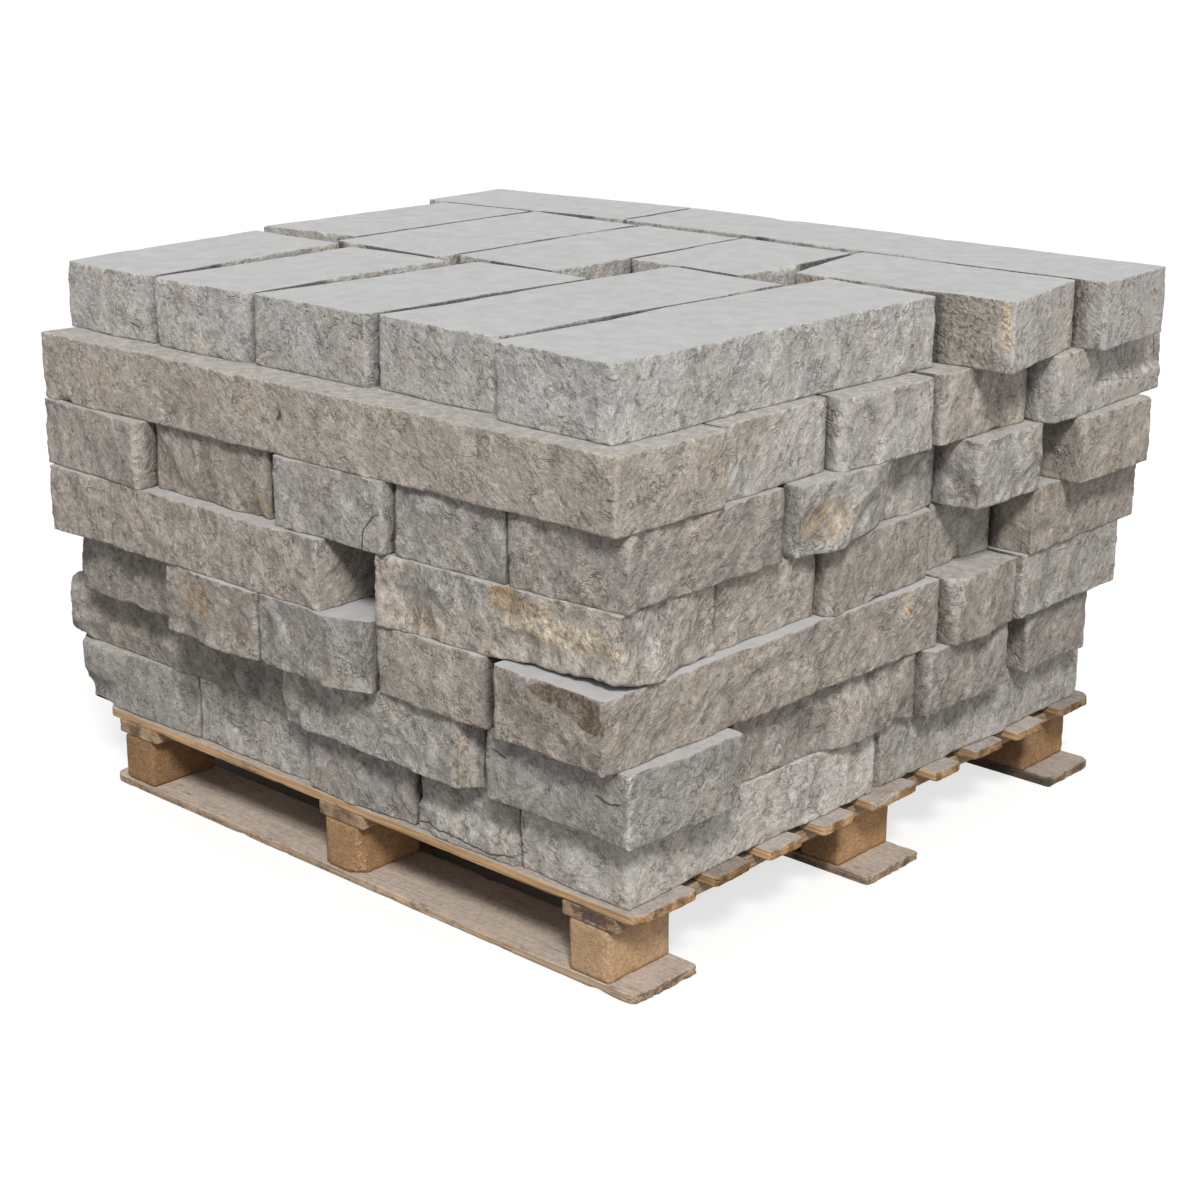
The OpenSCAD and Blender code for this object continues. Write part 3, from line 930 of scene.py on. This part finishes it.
def board_rings(outline, low, high, seed, along, splinter, wear_l, look):
    """A board's worn outline at each level, ended by one inside its top. Along is its grain's axis."""
    line, circle = resampled(outline, BOARD_STEP)
    line = smoothed(line, 0.6)
    normal = outward(line, 2.0)
    rows = BOARD_ROWS * (high - low - 2 * SINK)
    base = np.empty((len(rows), len(line), 3))
    base[..., :2] = line[None]
    base[..., UP] = low + SINK + rows[:, None]
    grain = board_grain(base, seed, along)

    at_end = np.abs(normal[:, along])[None]
    ragged = noise(grain / in_mm(60, 5, 3), seed) * splinter
    scuffed = noise(grain / np.array([wear_l, 9 * MM, 6 * MM]), seed + 1) * 0.5
    relief = at_end * ragged + (1 - at_end) * scuffed
    wear = 0
    for k, height in enumerate((rows, rows[-1] - rows)):
        chips = along_loop(circle, wear_l, seed + 3 + k) - 0.28
        fine = along_loop(circle, 9 * MM, seed + 5 + k)
        back = 0.9 + 0.4 * fine + np.clip(chips, 0, 1) * 7 * (1 + 0.5 * fine)
        t = np.clip(1 - height[:, None] / (0.8 * back[None] * MM + 0.6 * MM), 0, 1)
        wear = wear + back[None] * t**1.5
    relief = (relief - wear - 0.3) * MM
    shaped = base.copy()
    shaped[..., :2] += normal[None] * relief[..., None]
    first, last = outline.min(0), outline.max(0)
    rubbed = 0
    for fx, fy, degrees, low_depth, high_depth in look.get("cuts", []):
        corner = first + np.array([fx, fy]) * (last - first)
        up = (base[..., UP] - low) / (high - low)
        depth = low_depth + (high_depth - low_depth) * up + 1.5 * layers(base / (9 * MM), seed + 9)
        rubbed = rubbed + cut_corner(shaped, corner, math.radians(degrees), depth * MM)
    shaped[-1, :, :2] = np.clip(shaped[-2, :, :2], first + LAST_RING_IN, last - LAST_RING_IN)
    grain[-1] = grain[-2]
    grain[-1][:, [along, 1 - along]] += (shaped[-1] - shaped[-2])[:, :2]
    stain = stain_and_shade_mask(base, normal, np.append(first, low), np.append(last, high), look.get("stains", []))
    stain[-1, :, 3] = 0
    worn = np.clip(wear / 4 + rubbed / (3 * MM), 0, 1)
    return shaped, grain, worn, stain, np.broadcast_to(at_end, worn.shape)


def make_board(node, material, slot, seed, along=0, splinter=1.6, wear_l=45 * MM):
    """One board or block, worn, in place of its CAD node."""
    outline, low, high = solids_of(node)[0]
    look = BOARD_LOOKS.get(node, {})
    shaped, grain, worn, stain, end = board_rings(outline, low, high, seed, along, splinter, wear_l, look)
    random = np.random.default_rng(seed + 50)
    shade = look.get("shade", 1.0) * (1 + random.uniform(-0.08, 0.08))
    tint = shade * np.array(look.get("hue", (1, 1, 1)))
    batch = Batch()
    batch.add_prism(shaped, {
        "grain": grain, "tint": coloured(tint, end, shaped.shape[:2]), "stain": stain, "worn": worn,
    })
    batch.make(f"worn_{node}", material, node, slot=slot)


ORANGE = (1, 0.90, 0.80)

# What sets single pieces of timber apart, in the words of LOOKS, with a hue to multiply by
BOARD_LOOKS = {
    "deck_board_1": dict(
        cuts=[(1, 0, -40, 9, 10)],
        stains=[("right", "orange", 0.9, 9, [(0.1, 0.5)]), ("right", "dark", 1.0, 7, [(0.3, 0.5)])],
    ),
    "deck_board_2": dict(shade=0.74, hue=(1, 0.96, 0.88)),
    "deck_board_5": dict(stains=[("right", "dust", 0.9, 8, [(0.05, 0.6), (0.5, 0.8)])]),
    "deck_board_9": dict(shade=0.66),
    "stringer_3": dict(
        stains=[
            ("front", "bark", 1.4, 4, [(0.36, 0.9), (0.8, 0.9), (0.83, 0.35), (0.4, 0.3)]),
            ("front", "dust", 0.9, 4, [(0.45, 0.2), (0.6, 0.15)]),
        ],
    ),
    "stringer_2": dict(stains=[("front", "bark", 0.9, 2, [(0.3, 0.9), (0.33, 0.2)])]),
    "block_1": dict(shade=0.66, hue=ORANGE),
    "block_2": dict(shade=0.81, hue=ORANGE, cuts=[(1, 0, -45, 14, 2)]),
    "block_3": dict(shade=1.06, cuts=[(1, 0, -45, 2, 6)]), "block_4": dict(shade=0.85, hue=ORANGE),
    "block_5": dict(shade=0.8, hue=ORANGE), "block_6": dict(shade=0.9, hue=ORANGE),
    "block_9": dict(shade=0.66, hue=ORANGE),
    "base_board_1": dict(
        stains=[
            ("front", "bark", 0.4, 5, [(0, 1), (1, 1)]), ("front", "bark", 0.75, 12, [(0, 0.4), (0.25, 0.3)]),
            ("front", "bark", 0.5, 12, [(0.25, 0.3), (0.8, 0.3)]),
        ],
    ),
    "base_board_2": dict(
        stains=[
            ("front", "bark", 0.6, 8, [(0, 1), (1, 1)]), ("front", "bark", 0.9, 12, [(0.88, 0.4), (1, 0.4)]),
            ("right", "bark", 0.7, 12, [(0, 0.4), (1, 0.4)]),
        ],
    ),
    "base_board_3": dict(
        shade=0.85,
        stains=[
            ("front", "tar", 1.6, 14, [(0, 0.5), (1, 0.5)]),
            ("right", "bark", 0.75, 12, [(0, 0.5), (1, 0.5)]),
        ],
    ),
}


def make_timber(deck, stringer, base, chipboard):
    """Builds every board and block of the pallet, each kind in its own material."""
    for i in range(1, 10):
        make_board(f"deck_board_{i}", deck, "deck_wood", 300 + i)
    for i in range(1, 4):
        make_board(f"stringer_{i}", stringer, "stringer_wood", 330 + i, along=1, splinter=1.2)
        make_board(f"base_board_{i}", base, "base_wood", 350 + i, splinter=2.2, wear_l=30 * MM)
    for i in range(1, 10):
        make_board(f"block_{i}", chipboard, "chipboard", 370 + i, splinter=1.0, wear_l=12 * MM)


# ---------------------------------------------------------------------------
# Materials
# ---------------------------------------------------------------------------
class Nodes:
    """A tree of shader nodes, built by short calls, most of which return the socket they make."""

    def __init__(self, tree):
        self.tree = tree

    def node(self, kind, *sources, **settings):
        """A node with these settings, and its first inputs linked or set to the sources."""
        node = self.tree.nodes.new("ShaderNode" + kind)
        for key, value in settings.items():
            setattr(node, key, value)
        for source, socket in zip(sources, node.inputs):
            self.link(source, socket)
        return node

    def link(self, source, target):
        if isinstance(source, bpy.types.NodeSocket):
            self.tree.links.new(source, target)
        else:
            target.default_value = source

    def math(self, operation, *values):
        return self.node("Math", *values, operation=operation).outputs[0]

    def plus(self, a, b):
        return self.math("ADD", a, b)

    def minus(self, a, b):
        return self.math("SUBTRACT", a, b)

    def times(self, a, b):
        return self.math("MULTIPLY", a, b)

    def spread(self, value, low, high, to_low=0.0, to_high=1.0):
        """The value eased from one range to another, and held at its ends."""
        ends = (low, high, to_low, to_high)
        return self.node("MapRange", value, *ends, interpolation_type="SMOOTHSTEP").outputs[0]

    def split(self, vector):
        return self.node("SeparateXYZ", vector).outputs


class Shader(Nodes):
    """The node tree of a material."""

    def __init__(self, name, roughness, metallic=0.0, specular=0.3):
        self.material = bpy.data.materials.new(name)
        self.material.use_nodes = True
        super().__init__(self.material.node_tree)
        self.surface = self.tree.nodes["Principled BSDF"].inputs
        self.surface["Roughness"].default_value = roughness
        self.surface["Metallic"].default_value = metallic
        self.surface["Specular IOR Level"].default_value = specular

    def value(self, name, output="Vector"):
        """A point value of the mesh."""
        return self.node("Attribute", attribute_name=name).outputs[output]

    def vectors(self, operation, *sources):
        return self.node("VectorMath", *sources, operation=operation)

    def scaled(self, vector, scale):
        return self.vectors("MULTIPLY", vector, scale).outputs[0]

    def moved(self, vector, offset, amount):
        """The vector moved by another, amount times."""
        return self.vectors("MULTIPLY_ADD", offset, (amount,) * 3, vector).outputs[0]

    def noise(self, vector, scale, detail=4.0, roughness=0.55, warp=0.0, output="Fac"):
        node = self.node("TexNoise", vector)
        settings = {"Scale": scale, "Detail": detail, "Roughness": roughness, "Distortion": warp}
        for name, value in settings.items():
            node.inputs[name].default_value = value
        return node.outputs[output]

    def cells(self, vector, scale, feature="F1"):
        """The outputs of a Voronoi texture."""
        node = self.node("TexVoronoi", vector, feature=feature)
        node.inputs["Scale"].default_value = scale
        return node.outputs

    def mix(self, share, a, b, blend="MIX"):
        node = self.node("Mix", data_type="RGBA", blend_type=blend, clamp_factor=True)
        self.link(share, node.inputs["Factor"])
        for name, colour in (("A", a), ("B", b)):
            socket = next(s for s in node.inputs if s.name == name and s.type == "RGBA")
            self.link(colour if isinstance(colour, bpy.types.NodeSocket) else (*colour, 1), socket)
        return next(s for s in node.outputs if s.type == "RGBA")

    def grey(self, value):
        return self.node("CombineColor", value, value, value).outputs[0]

    def shaded(self, colour, value, low, high, dark, bright):
        """The colour times a grey that goes from dark to bright as the value goes from low to high."""
        return self.mix(1.0, colour, self.grey(self.spread(value, low, high, dark, bright)), "MULTIPLY")

    def patched(self, colour, value, low, high, most, patch):
        """The colour, covered by a patch more and more as the value goes from low to high."""
        return self.mix(self.spread(value, low, high, 0.0, most), colour, patch)

    def stain_share(self, strength, grain):
        """How much a stain covers: solid where it is strong, and in grains towards its edge."""
        broad, small = self.noise(grain, 38, 4, 0.7), self.noise(grain, 260, 3, 0.7)
        grains = self.plus(self.times(broad, 1.9), self.times(small, 1.5))
        cover = self.spread(self.plus(grains, strength), 1.95, 2.9, 0.0, 0.82)
        return self.times(cover, self.spread(strength, 0.0, 0.3))

    def lines(self, vector, scale, width, least):
        """Thin wandering lines, in patches: more of them for a smaller least."""
        value = self.noise(self.scaled(vector, (0.5, 1, 1)), scale, 4, 0.6, 0.5)
        line = self.spread(self.math("ABSOLUTE", self.minus(value, 0.5)), 0.0, width, 1.0, 0.0)
        patch = self.spread(self.noise(vector, scale * 0.6, 2, 0.6), least, least + 0.12)
        return self.times(line, patch)

    def facets(self, vector, scale):
        """Heights of tilted planes, one for each cell, as on a broken face."""
        cell = self.cells(vector, scale)
        offset = self.vectors("SUBTRACT", vector, cell["Position"]).outputs[0]
        tilt = self.vectors("SUBTRACT", cell["Color"], (0.5, 0.5, 0.5)).outputs[0]
        return self.times(self.vectors("DOT_PRODUCT", offset, tilt).outputs["Value"], scale)

    def facing_up(self):
        return self.split(self.node("NewGeometry").outputs["Normal"])[UP]

    def bump(self, height, distance, strength):
        """The normal of a surface with this height, of a distance in metres."""
        node = self.node("Bump")
        for name, value in (("Strength", strength), ("Distance", distance), ("Height", height)):
            self.link(value, node.inputs[name])
        return node.outputs[0]

    def finish(self, colour, normal, roughness=None):
        """Links what the surface is made of, and returns the material."""
        self.link(colour, self.surface["Base Color"])
        self.link(normal, self.surface["Normal"])
        if roughness is not None:
            self.link(roughness, self.surface["Roughness"])
        return self.material


# The colours of the materials, besides those of TINT and STAIN
WARM_PATCH = (0.47, 0.385, 0.29)
COOL_PATCH = (0.34, 0.335, 0.33)
CREAM = (0.60, 0.535, 0.45)
SCRATCH = (0.21, 0.18, 0.155)
PIT = (0.13, 0.11, 0.09)
RUBBED_STONE = (0.56, 0.545, 0.52)
STONE_CRACK = (0.075, 0.065, 0.055)
SAWN_BED = (0.495, 0.498, 0.505)
BED_FILM = (0.44, 0.435, 0.43)
BED_CRUMBS = (0.35, 0.325, 0.29)
BED_DUST = (0.52, 0.49, 0.45)
WOOD_DIRT = (0.16, 0.115, 0.08)
DARK_END = (0.13, 0.085, 0.05)
WOOD_CRACK = (0.06, 0.045, 0.03)
WORN_WOOD = (0.44, 0.34, 0.24)
WOOD_SPECK = (0.10, 0.08, 0.06)
CHIP_DARK = (0.43, 0.275, 0.155)
CHIP_PALE = (0.55, 0.375, 0.225)
CHIP_GAP = (0.25, 0.155, 0.085)
CHIP_KNOT = (0.24, 0.15, 0.085)
RUBBED_CHIPS = (0.66, 0.43, 0.23)
BARE_STEEL = (0.22, 0.20, 0.19)
RUST = (0.20, 0.09, 0.04)


def limestone():
    """Split faces in warm grey, mottled and flecked, with stains and painted shade, and paler, cooler sawn
    beds.
    """
    m = Shader("split_limestone", 0.94, specular=0.15)
    grain = m.value("grain")
    drift = m.noise(grain, 9, 2, output="Color")
    bent = m.moved(grain, drift, 0.035)

    cloud = m.noise(bent, 11, 3, 0.6)
    strokes = m.noise(m.scaled(bent, (0.4, 1, 1)), 170, 4, 0.68, 0.3)
    fine = m.noise(m.scaled(grain, (0.6, 1, 1)), 480, 3, 0.75)
    colour = m.shaded(m.value("tint", "Color"), cloud, 0.3, 0.7, 0.92, 1.07)
    warm = m.noise(m.scaled(m.moved(bent, drift, 0.02), (0.6, 1, 1)), 16, 5, 0.7)
    colour = m.patched(colour, warm, 0.46, 0.72, 0.42, WARM_PATCH)
    cool = m.noise(m.scaled(m.moved(bent, drift, -0.04), (0.6, 1, 1)), 14, 5, 0.7)
    colour = m.patched(colour, cool, 0.5, 0.72, 0.32, COOL_PATCH)
    colour = m.shaded(colour, strokes, 0.28, 0.72, 0.75, 1.24)
    cream = m.noise(m.scaled(bent, (0.3, 1, 1)), 95, 4, 0.65)
    colour = m.patched(colour, cream, 0.55, 0.72, 0.45, CREAM)
    colour = m.shaded(colour, fine, 0.3, 0.7, 0.77, 1.24)
    scratch = m.math("MAXIMUM", m.lines(grain, 26, 0.028, 0.53), m.lines(grain, 60, 0.045, 0.50))
    colour = m.mix(m.times(scratch, 0.42), colour, SCRATCH)

    # The stains include umber_shade and a dark spot in a hole, which paint shade
    stain = m.value("stain", "Color")
    stained = m.value("stain", "Alpha")
    share = m.stain_share(stained, grain)
    streaks = m.noise(m.scaled(bent, (0.3, 1, 1)), 170, 4, 0.75)
    stain = m.shaded(stain, streaks, 0.34, 0.66, 0.42, 1.8)
    colour = m.mix(share, colour, stain)

    # Painted shade: darker in hollows and on the sides that neighbours hide, with a painted highlight where
    # the wall stands out
    relief = m.value("relief", "Fac")
    colour = m.shaded(colour, relief, 0.1, 0.9, 0.78, 1.16)
    colour = m.shaded(colour, relief, -0.95, -0.4, 0.45, 1.0)
    pits = m.cells(m.moved(grain, drift, 0.02), 90)["Distance"]
    pit = m.spread(pits, 0.05, 0.14, 1.0, 0.0)
    pit = m.times(pit, m.spread(m.noise(grain, 28, 2), 0.55, 0.66))
    colour = m.mix(m.times(pit, 0.6), colour, PIT)
    worn = m.value("worn", "Fac")
    rub = m.plus(worn, m.times(m.minus(strokes, 0.5), 1.4))
    colour = m.patched(colour, rub, 0.1, 0.9, 0.6, RUBBED_STONE)

    ragged = m.times(m.minus(m.noise(grain, 90, 4, 0.7), 0.5), 9.0)
    line = m.split(m.value("crack"))
    off = m.math("ABSOLUTE", m.plus(line[0], ragged))
    crack = m.times(m.spread(off, 0.5, 1.9, 1.0, 0.0), line[1])
    dash = m.spread(m.noise(grain, 110, 3, 0.7), 0.50, 0.60, 0.0, 0.75)
    crack = m.times(crack, m.mix(line[2], (1, 1, 1), m.grey(dash)))
    colour = m.mix(m.times(crack, 0.85), colour, STONE_CRACK)

    sawn = m.noise(grain, 30, 6, 0.7)
    bed = m.shaded(SAWN_BED, sawn, 0.3, 0.7, 0.90, 1.07)
    bed = m.patched(bed, fine, 0.35, 0.75, 0.35, BED_FILM)
    dust = m.spread(m.value("tint", "Alpha"), 0.78, 0.98, 0.75, 0.0)
    crumbs = m.noise(grain, 75, 5, 0.75)
    dusty = m.mix(m.spread(crumbs, 0.42, 0.62), BED_CRUMBS, BED_DUST)
    dusty = m.shaded(dusty, fine, 0.3, 0.7, 0.86, 1.12)
    bed = m.mix(dust, bed, dusty)
    level = m.spread(m.math("ABSOLUTE", m.facing_up()), 0.80, 0.97)
    colour = m.mix(level, colour, bed)

    height = m.plus(m.times(strokes, 0.8), m.times(fine, 0.3))
    height = m.minus(height, m.times(pit, 0.5))
    height = m.minus(height, m.times(m.math("MAXIMUM", crack, scratch), 0.5))
    warped = m.moved(grain, m.noise(grain, 45, 3, 0.6, output="Color"), 0.018)
    broken = m.plus(m.facets(warped, 32), m.times(m.facets(warped, 85), 0.4))
    height = m.plus(height, m.times(broken, 0.9))
    on_bed = m.plus(m.times(dust, 0.5), 0.1)
    rough_height = m.times(height, m.spread(level, 0, 1, 1.0, on_bed))
    return m.finish(colour, m.bump(rough_height, 0.0035, 0.95))


def timber(name, pale, dark, core, ring_mm, dust, dusted):
    """Sawn softwood as one solid texture: rings round a pith line, fibres along it, and dust on top."""
    m = Shader(name, 0.85, specular=0.25)
    grain = m.value("grain")
    sway = m.noise(m.scaled(grain, (3, 12, 12)), 1, 3, 0.5, output="Color")
    bent = m.moved(m.scaled(grain, (0, 1, 1)), sway, 0.02)
    off_pith = m.vectors("LENGTH", bent).outputs["Value"]
    ring = m.math("FRACT", m.times(off_pith, 1000 / ring_mm))
    ring = m.times(m.spread(ring, 0.0, 0.75), m.spread(ring, 0.8, 1.0, 1.0, 0.0))
    fibre = m.noise(m.scaled(grain, (12, 420, 420)), 1, 4, 0.6)
    broad = m.noise(m.scaled(grain, (4, 30, 30)), 1, 3, 0.6)
    colour = m.mix(m.times(ring, 0.55), pale, dark)
    end = m.spread(m.value("tint", "Alpha"), 0.6, 0.9)
    end = m.times(end, m.spread(m.noise(grain, 45, 3), 0.38, 0.6))
    colour = m.mix(m.times(end, 0.8), colour, core)
    colour = m.shaded(colour, fibre, 0.3, 0.7, 0.78, 1.18)
    colour = m.shaded(colour, broad, 0.3, 0.7, 0.82, 1.12)
    dirt = m.noise(grain, 22, 5, 0.65)
    colour = m.patched(colour, dirt, 0.58, 0.74, 0.55, WOOD_DIRT)
    dark_end = m.times(end, m.spread(m.noise(grain, 50, 4, 0.65), 0.40, 0.56, 0.0, 0.8))
    colour = m.mix(dark_end, colour, DARK_END)
    crack = m.noise(m.scaled(grain, (5, 160, 160)), 1, 2, 0.5)
    split_line = m.spread(m.math("ABSOLUTE", m.minus(crack, 0.5)), 0.0, 0.012, 1.0, 0.0)
    split_line = m.times(split_line, m.spread(m.noise(grain, 14, 2), 0.52, 0.6))
    colour = m.mix(m.times(split_line, 0.8), colour, WOOD_CRACK)
    worn = m.value("worn", "Fac")
    colour = m.patched(colour, worn, 0.1, 0.8, 0.45, WORN_WOOD)
    up = m.spread(m.facing_up(), 0.4, 0.9)
    crumbs = m.noise(grain, 140, 5, 0.75)
    film = m.times(up, m.spread(m.noise(grain, 30, 5, 0.7), 0.3, 0.6, dusted * 0.6, dusted))
    dust = m.shaded(dust, crumbs, 0.3, 0.7, 0.75, 1.2)
    colour = m.mix(film, colour, dust)
    colour = m.mix(1.0, colour, m.value("tint", "Color"), "MULTIPLY")
    specks = m.times(m.spread(crumbs, 0.62, 0.72), m.spread(m.noise(grain, 18, 3), 0.5, 0.65))
    colour = m.mix(m.times(specks, 0.6), colour, WOOD_SPECK)
    share = m.stain_share(m.value("stain", "Alpha"), grain)
    stain = m.shaded(m.value("stain", "Color"), crumbs, 0.3, 0.7, 0.6, 1.5)
    colour = m.mix(share, colour, stain)
    height = m.plus(m.times(fibre, 0.7), m.times(ring, 0.3))
    height = m.minus(height, m.times(split_line, 1.5))
    height = m.plus(height, m.times(m.times(film, crumbs), 1.2))
    return m.finish(colour, m.bump(height, 0.0015, 0.8))


def chipboard():
    """Pressed chips: a fine speckle of many browns, with orange crumbs where the edges are rubbed."""
    m = Shader("pressed_chipboard", 0.9, specular=0.2)
    grain = m.value("grain")
    drift = m.noise(grain, 60, 2, output="Color")
    bent = m.scaled(m.moved(grain, drift, 0.006), (1, 1, 1.8))
    tone = m.split(m.cells(bent, 170)["Color"])[0]
    colour = m.mix(tone, CHIP_DARK, CHIP_PALE)
    crumbs = m.noise(grain, 260, 5, 0.75)
    colour = m.shaded(colour, crumbs, 0.3, 0.7, 0.76, 1.2)
    gap = m.spread(m.cells(bent, 170, "DISTANCE_TO_EDGE")["Distance"], 0.0, 0.08, 0.3, 0.0)
    colour = m.mix(gap, colour, CHIP_GAP)
    broad = m.noise(grain, 26, 4, 0.65)
    colour = m.shaded(colour, broad, 0.3, 0.7, 0.88, 1.1)
    knots = m.spread(m.noise(bent, 70, 3, 0.6), 0.64, 0.72, 0.0, 0.6)
    colour = m.mix(knots, colour, CHIP_KNOT)
    colour = m.mix(1.0, colour, m.value("tint", "Color"), "MULTIPLY")
    lumps = m.spread(m.noise(grain, 110, 3, 0.6), 0.4, 0.62)
    rubbed = m.times(m.spread(m.value("worn", "Fac"), 0.1, 0.6), lumps)
    colour = m.mix(m.times(rubbed, 0.7), colour, RUBBED_CHIPS)
    height = m.plus(m.times(tone, 0.4), m.times(crumbs, 0.6))
    height = m.plus(height, m.times(rubbed, 2.0))
    return m.finish(colour, m.bump(height, 0.001, 0.8))


def rusted_steel():
    m = Shader("rusted_nail_steel", 0.6, metallic=0.6, specular=0.4)
    place = m.node("TexCoord").outputs["Object"]
    rust = m.noise(place, 500, 4, 0.7)
    colour = m.mix(m.spread(rust, 0.35, 0.65), BARE_STEEL, RUST)
    return m.finish(colour, m.bump(rust, 0.0004, 0.6), m.spread(rust, 0.3, 0.7, 0.45, 0.85))


# ---------------------------------------------------------------------------
# Stage and light
# ---------------------------------------------------------------------------
WHITE = (1, 1, 1, 1)
SKY = 0.44  # the strength of the world's light on the object
FLOOR_HALF = 60.0
FLOOR_LOW = -0.5 * MM
FLOOR_TONE = 0.30
FLOOR_GLOW = 0.72
UNDER_FRONT, UNDER_RIGHT = 90 * MM, 170 * MM  # the floor is dark under the pallet up to these edges: painted shade, with no glow there
LAMP_TINT = (1.0, 0.985, 0.96)
LAMP_AWAY = 6.0


def seen_share(nodes):
    """1 for camera, glossy and transmission rays, and 0 for the rays that carry light."""
    path = nodes.node("LightPath").outputs
    share = path["Is Camera Ray"]
    for name in ("Is Glossy Ray", "Is Transmission Ray"):
        share = nodes.math("MAXIMUM", share, path[name])
    return share


def make_world():
    """Even white light all round, which the camera sees as plain white."""
    world = bpy.data.worlds.new("studio")
    bpy.context.scene.world = world
    world.use_nodes = True
    nodes = Nodes(world.node_tree)
    light = nodes.tree.nodes["Background"]
    light.inputs["Color"].default_value = WHITE
    light.inputs["Strength"].default_value = SKY
    white = nodes.node("Background", WHITE)
    blend = nodes.node("MixShader", seen_share(nodes), light.outputs[0], white.outputs[0])
    nodes.link(blend.outputs[0], nodes.tree.nodes["World Output"].inputs[0])


def beside_pallet(nodes):
    """0 under the pallet and 1 clear of it, with a soft band between; taking the glow away there paints a
    shadow.
    """
    low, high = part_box("base_board_1")[0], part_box("base_board_3")[1]
    place = nodes.split(nodes.node("TexCoord").outputs["Object"])
    past = None
    for axis, way, limit in (
        (0, -1, -low[0]), (0, 1, high[0] - UNDER_RIGHT), (1, -1, -low[1] - UNDER_FRONT), (1, 1, high[1]),
    ):
        over = nodes.math("MULTIPLY_ADD", place[axis], way, -limit)
        past = over if past is None else nodes.math("MAXIMUM", past, over)
    return nodes.spread(past, -50 * MM, 20 * MM)


def make_floor():
    """A pale matt floor that the camera sees as nearly white, with the shadows on it and a painted shadow
    under the pallet.
    """
    half = FLOOR_HALF
    mesh = bpy.data.meshes.new("floor")
    corners = [(-half, -half), (half, -half), (half, half), (-half, half)]
    mesh.from_pydata([(x, y, FLOOR_LOW) for x, y in corners], [], [(0, 1, 2, 3)])
    material = bpy.data.materials.new("pale_floor")
    material.use_nodes = True
    nodes = Nodes(material.node_tree)
    nodes.tree.nodes.remove(nodes.tree.nodes["Principled BSDF"])
    matt = nodes.node("BsdfDiffuse", (FLOOR_TONE,) * 3 + (1,))
    # The glow is taken away under the pallet, which paints a shadow there and a soft painted shadow at its
    # edge
    lift = nodes.times(nodes.times(seen_share(nodes), FLOOR_GLOW), beside_pallet(nodes))
    glow = nodes.node("Emission", WHITE, lift)
    both = nodes.node("AddShader", matt.outputs[0], glow.outputs[0])
    nodes.link(both.outputs[0], nodes.tree.nodes["Material Output"].inputs[0])
    mesh.materials.append(material)
    placed("floor", mesh)


def make_light(name, azimuth, elevation, strength, spread):
    """One broad lamp."""
    data = bpy.data.lights.new(name, "SUN")
    data.energy, data.angle, data.color = strength, math.radians(spread), LAMP_TINT
    back = direction(azimuth, elevation)
    lamp = placed(name, data)
    lamp.location = back * LAMP_AWAY
    lamp.rotation_euler = back.to_track_quat("Z", "Y").to_euler()


# ---------------------------------------------------------------------------
# The scene
# ---------------------------------------------------------------------------
make_camera()
make_world()
make_floor()
make_light("key", azimuth=46, elevation=48, strength=2.72, spread=13)
make_light("fill", azimuth=105, elevation=15, strength=0.48, spread=70)
bpy.context.scene.view_settings.view_transform = "Standard"

make_stones(limestone())
make_timber(
    timber(
        "deck_timber", pale=(0.56, 0.375, 0.215), dark=(0.42, 0.245, 0.115), core=(0.33, 0.165, 0.065),
        ring_mm=5.0, dust=(0.41, 0.385, 0.375), dusted=0.9,
    ),
    timber(
        "stringer_timber", pale=(0.46, 0.335, 0.225), dark=(0.33, 0.21, 0.125), core=(0.36, 0.25, 0.16),
        ring_mm=4.0, dust=(0.42, 0.37, 0.32), dusted=0.5,
    ),
    timber(
        "base_timber", pale=(0.56, 0.43, 0.31), dark=(0.42, 0.30, 0.20), core=(0.44, 0.33, 0.24),
        ring_mm=4.5, dust=(0.485, 0.42, 0.37), dusted=0.9,
    ),
    chipboard(),
)
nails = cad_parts["nails"].data.materials
nails.clear()
nails.append(rusted_steel())
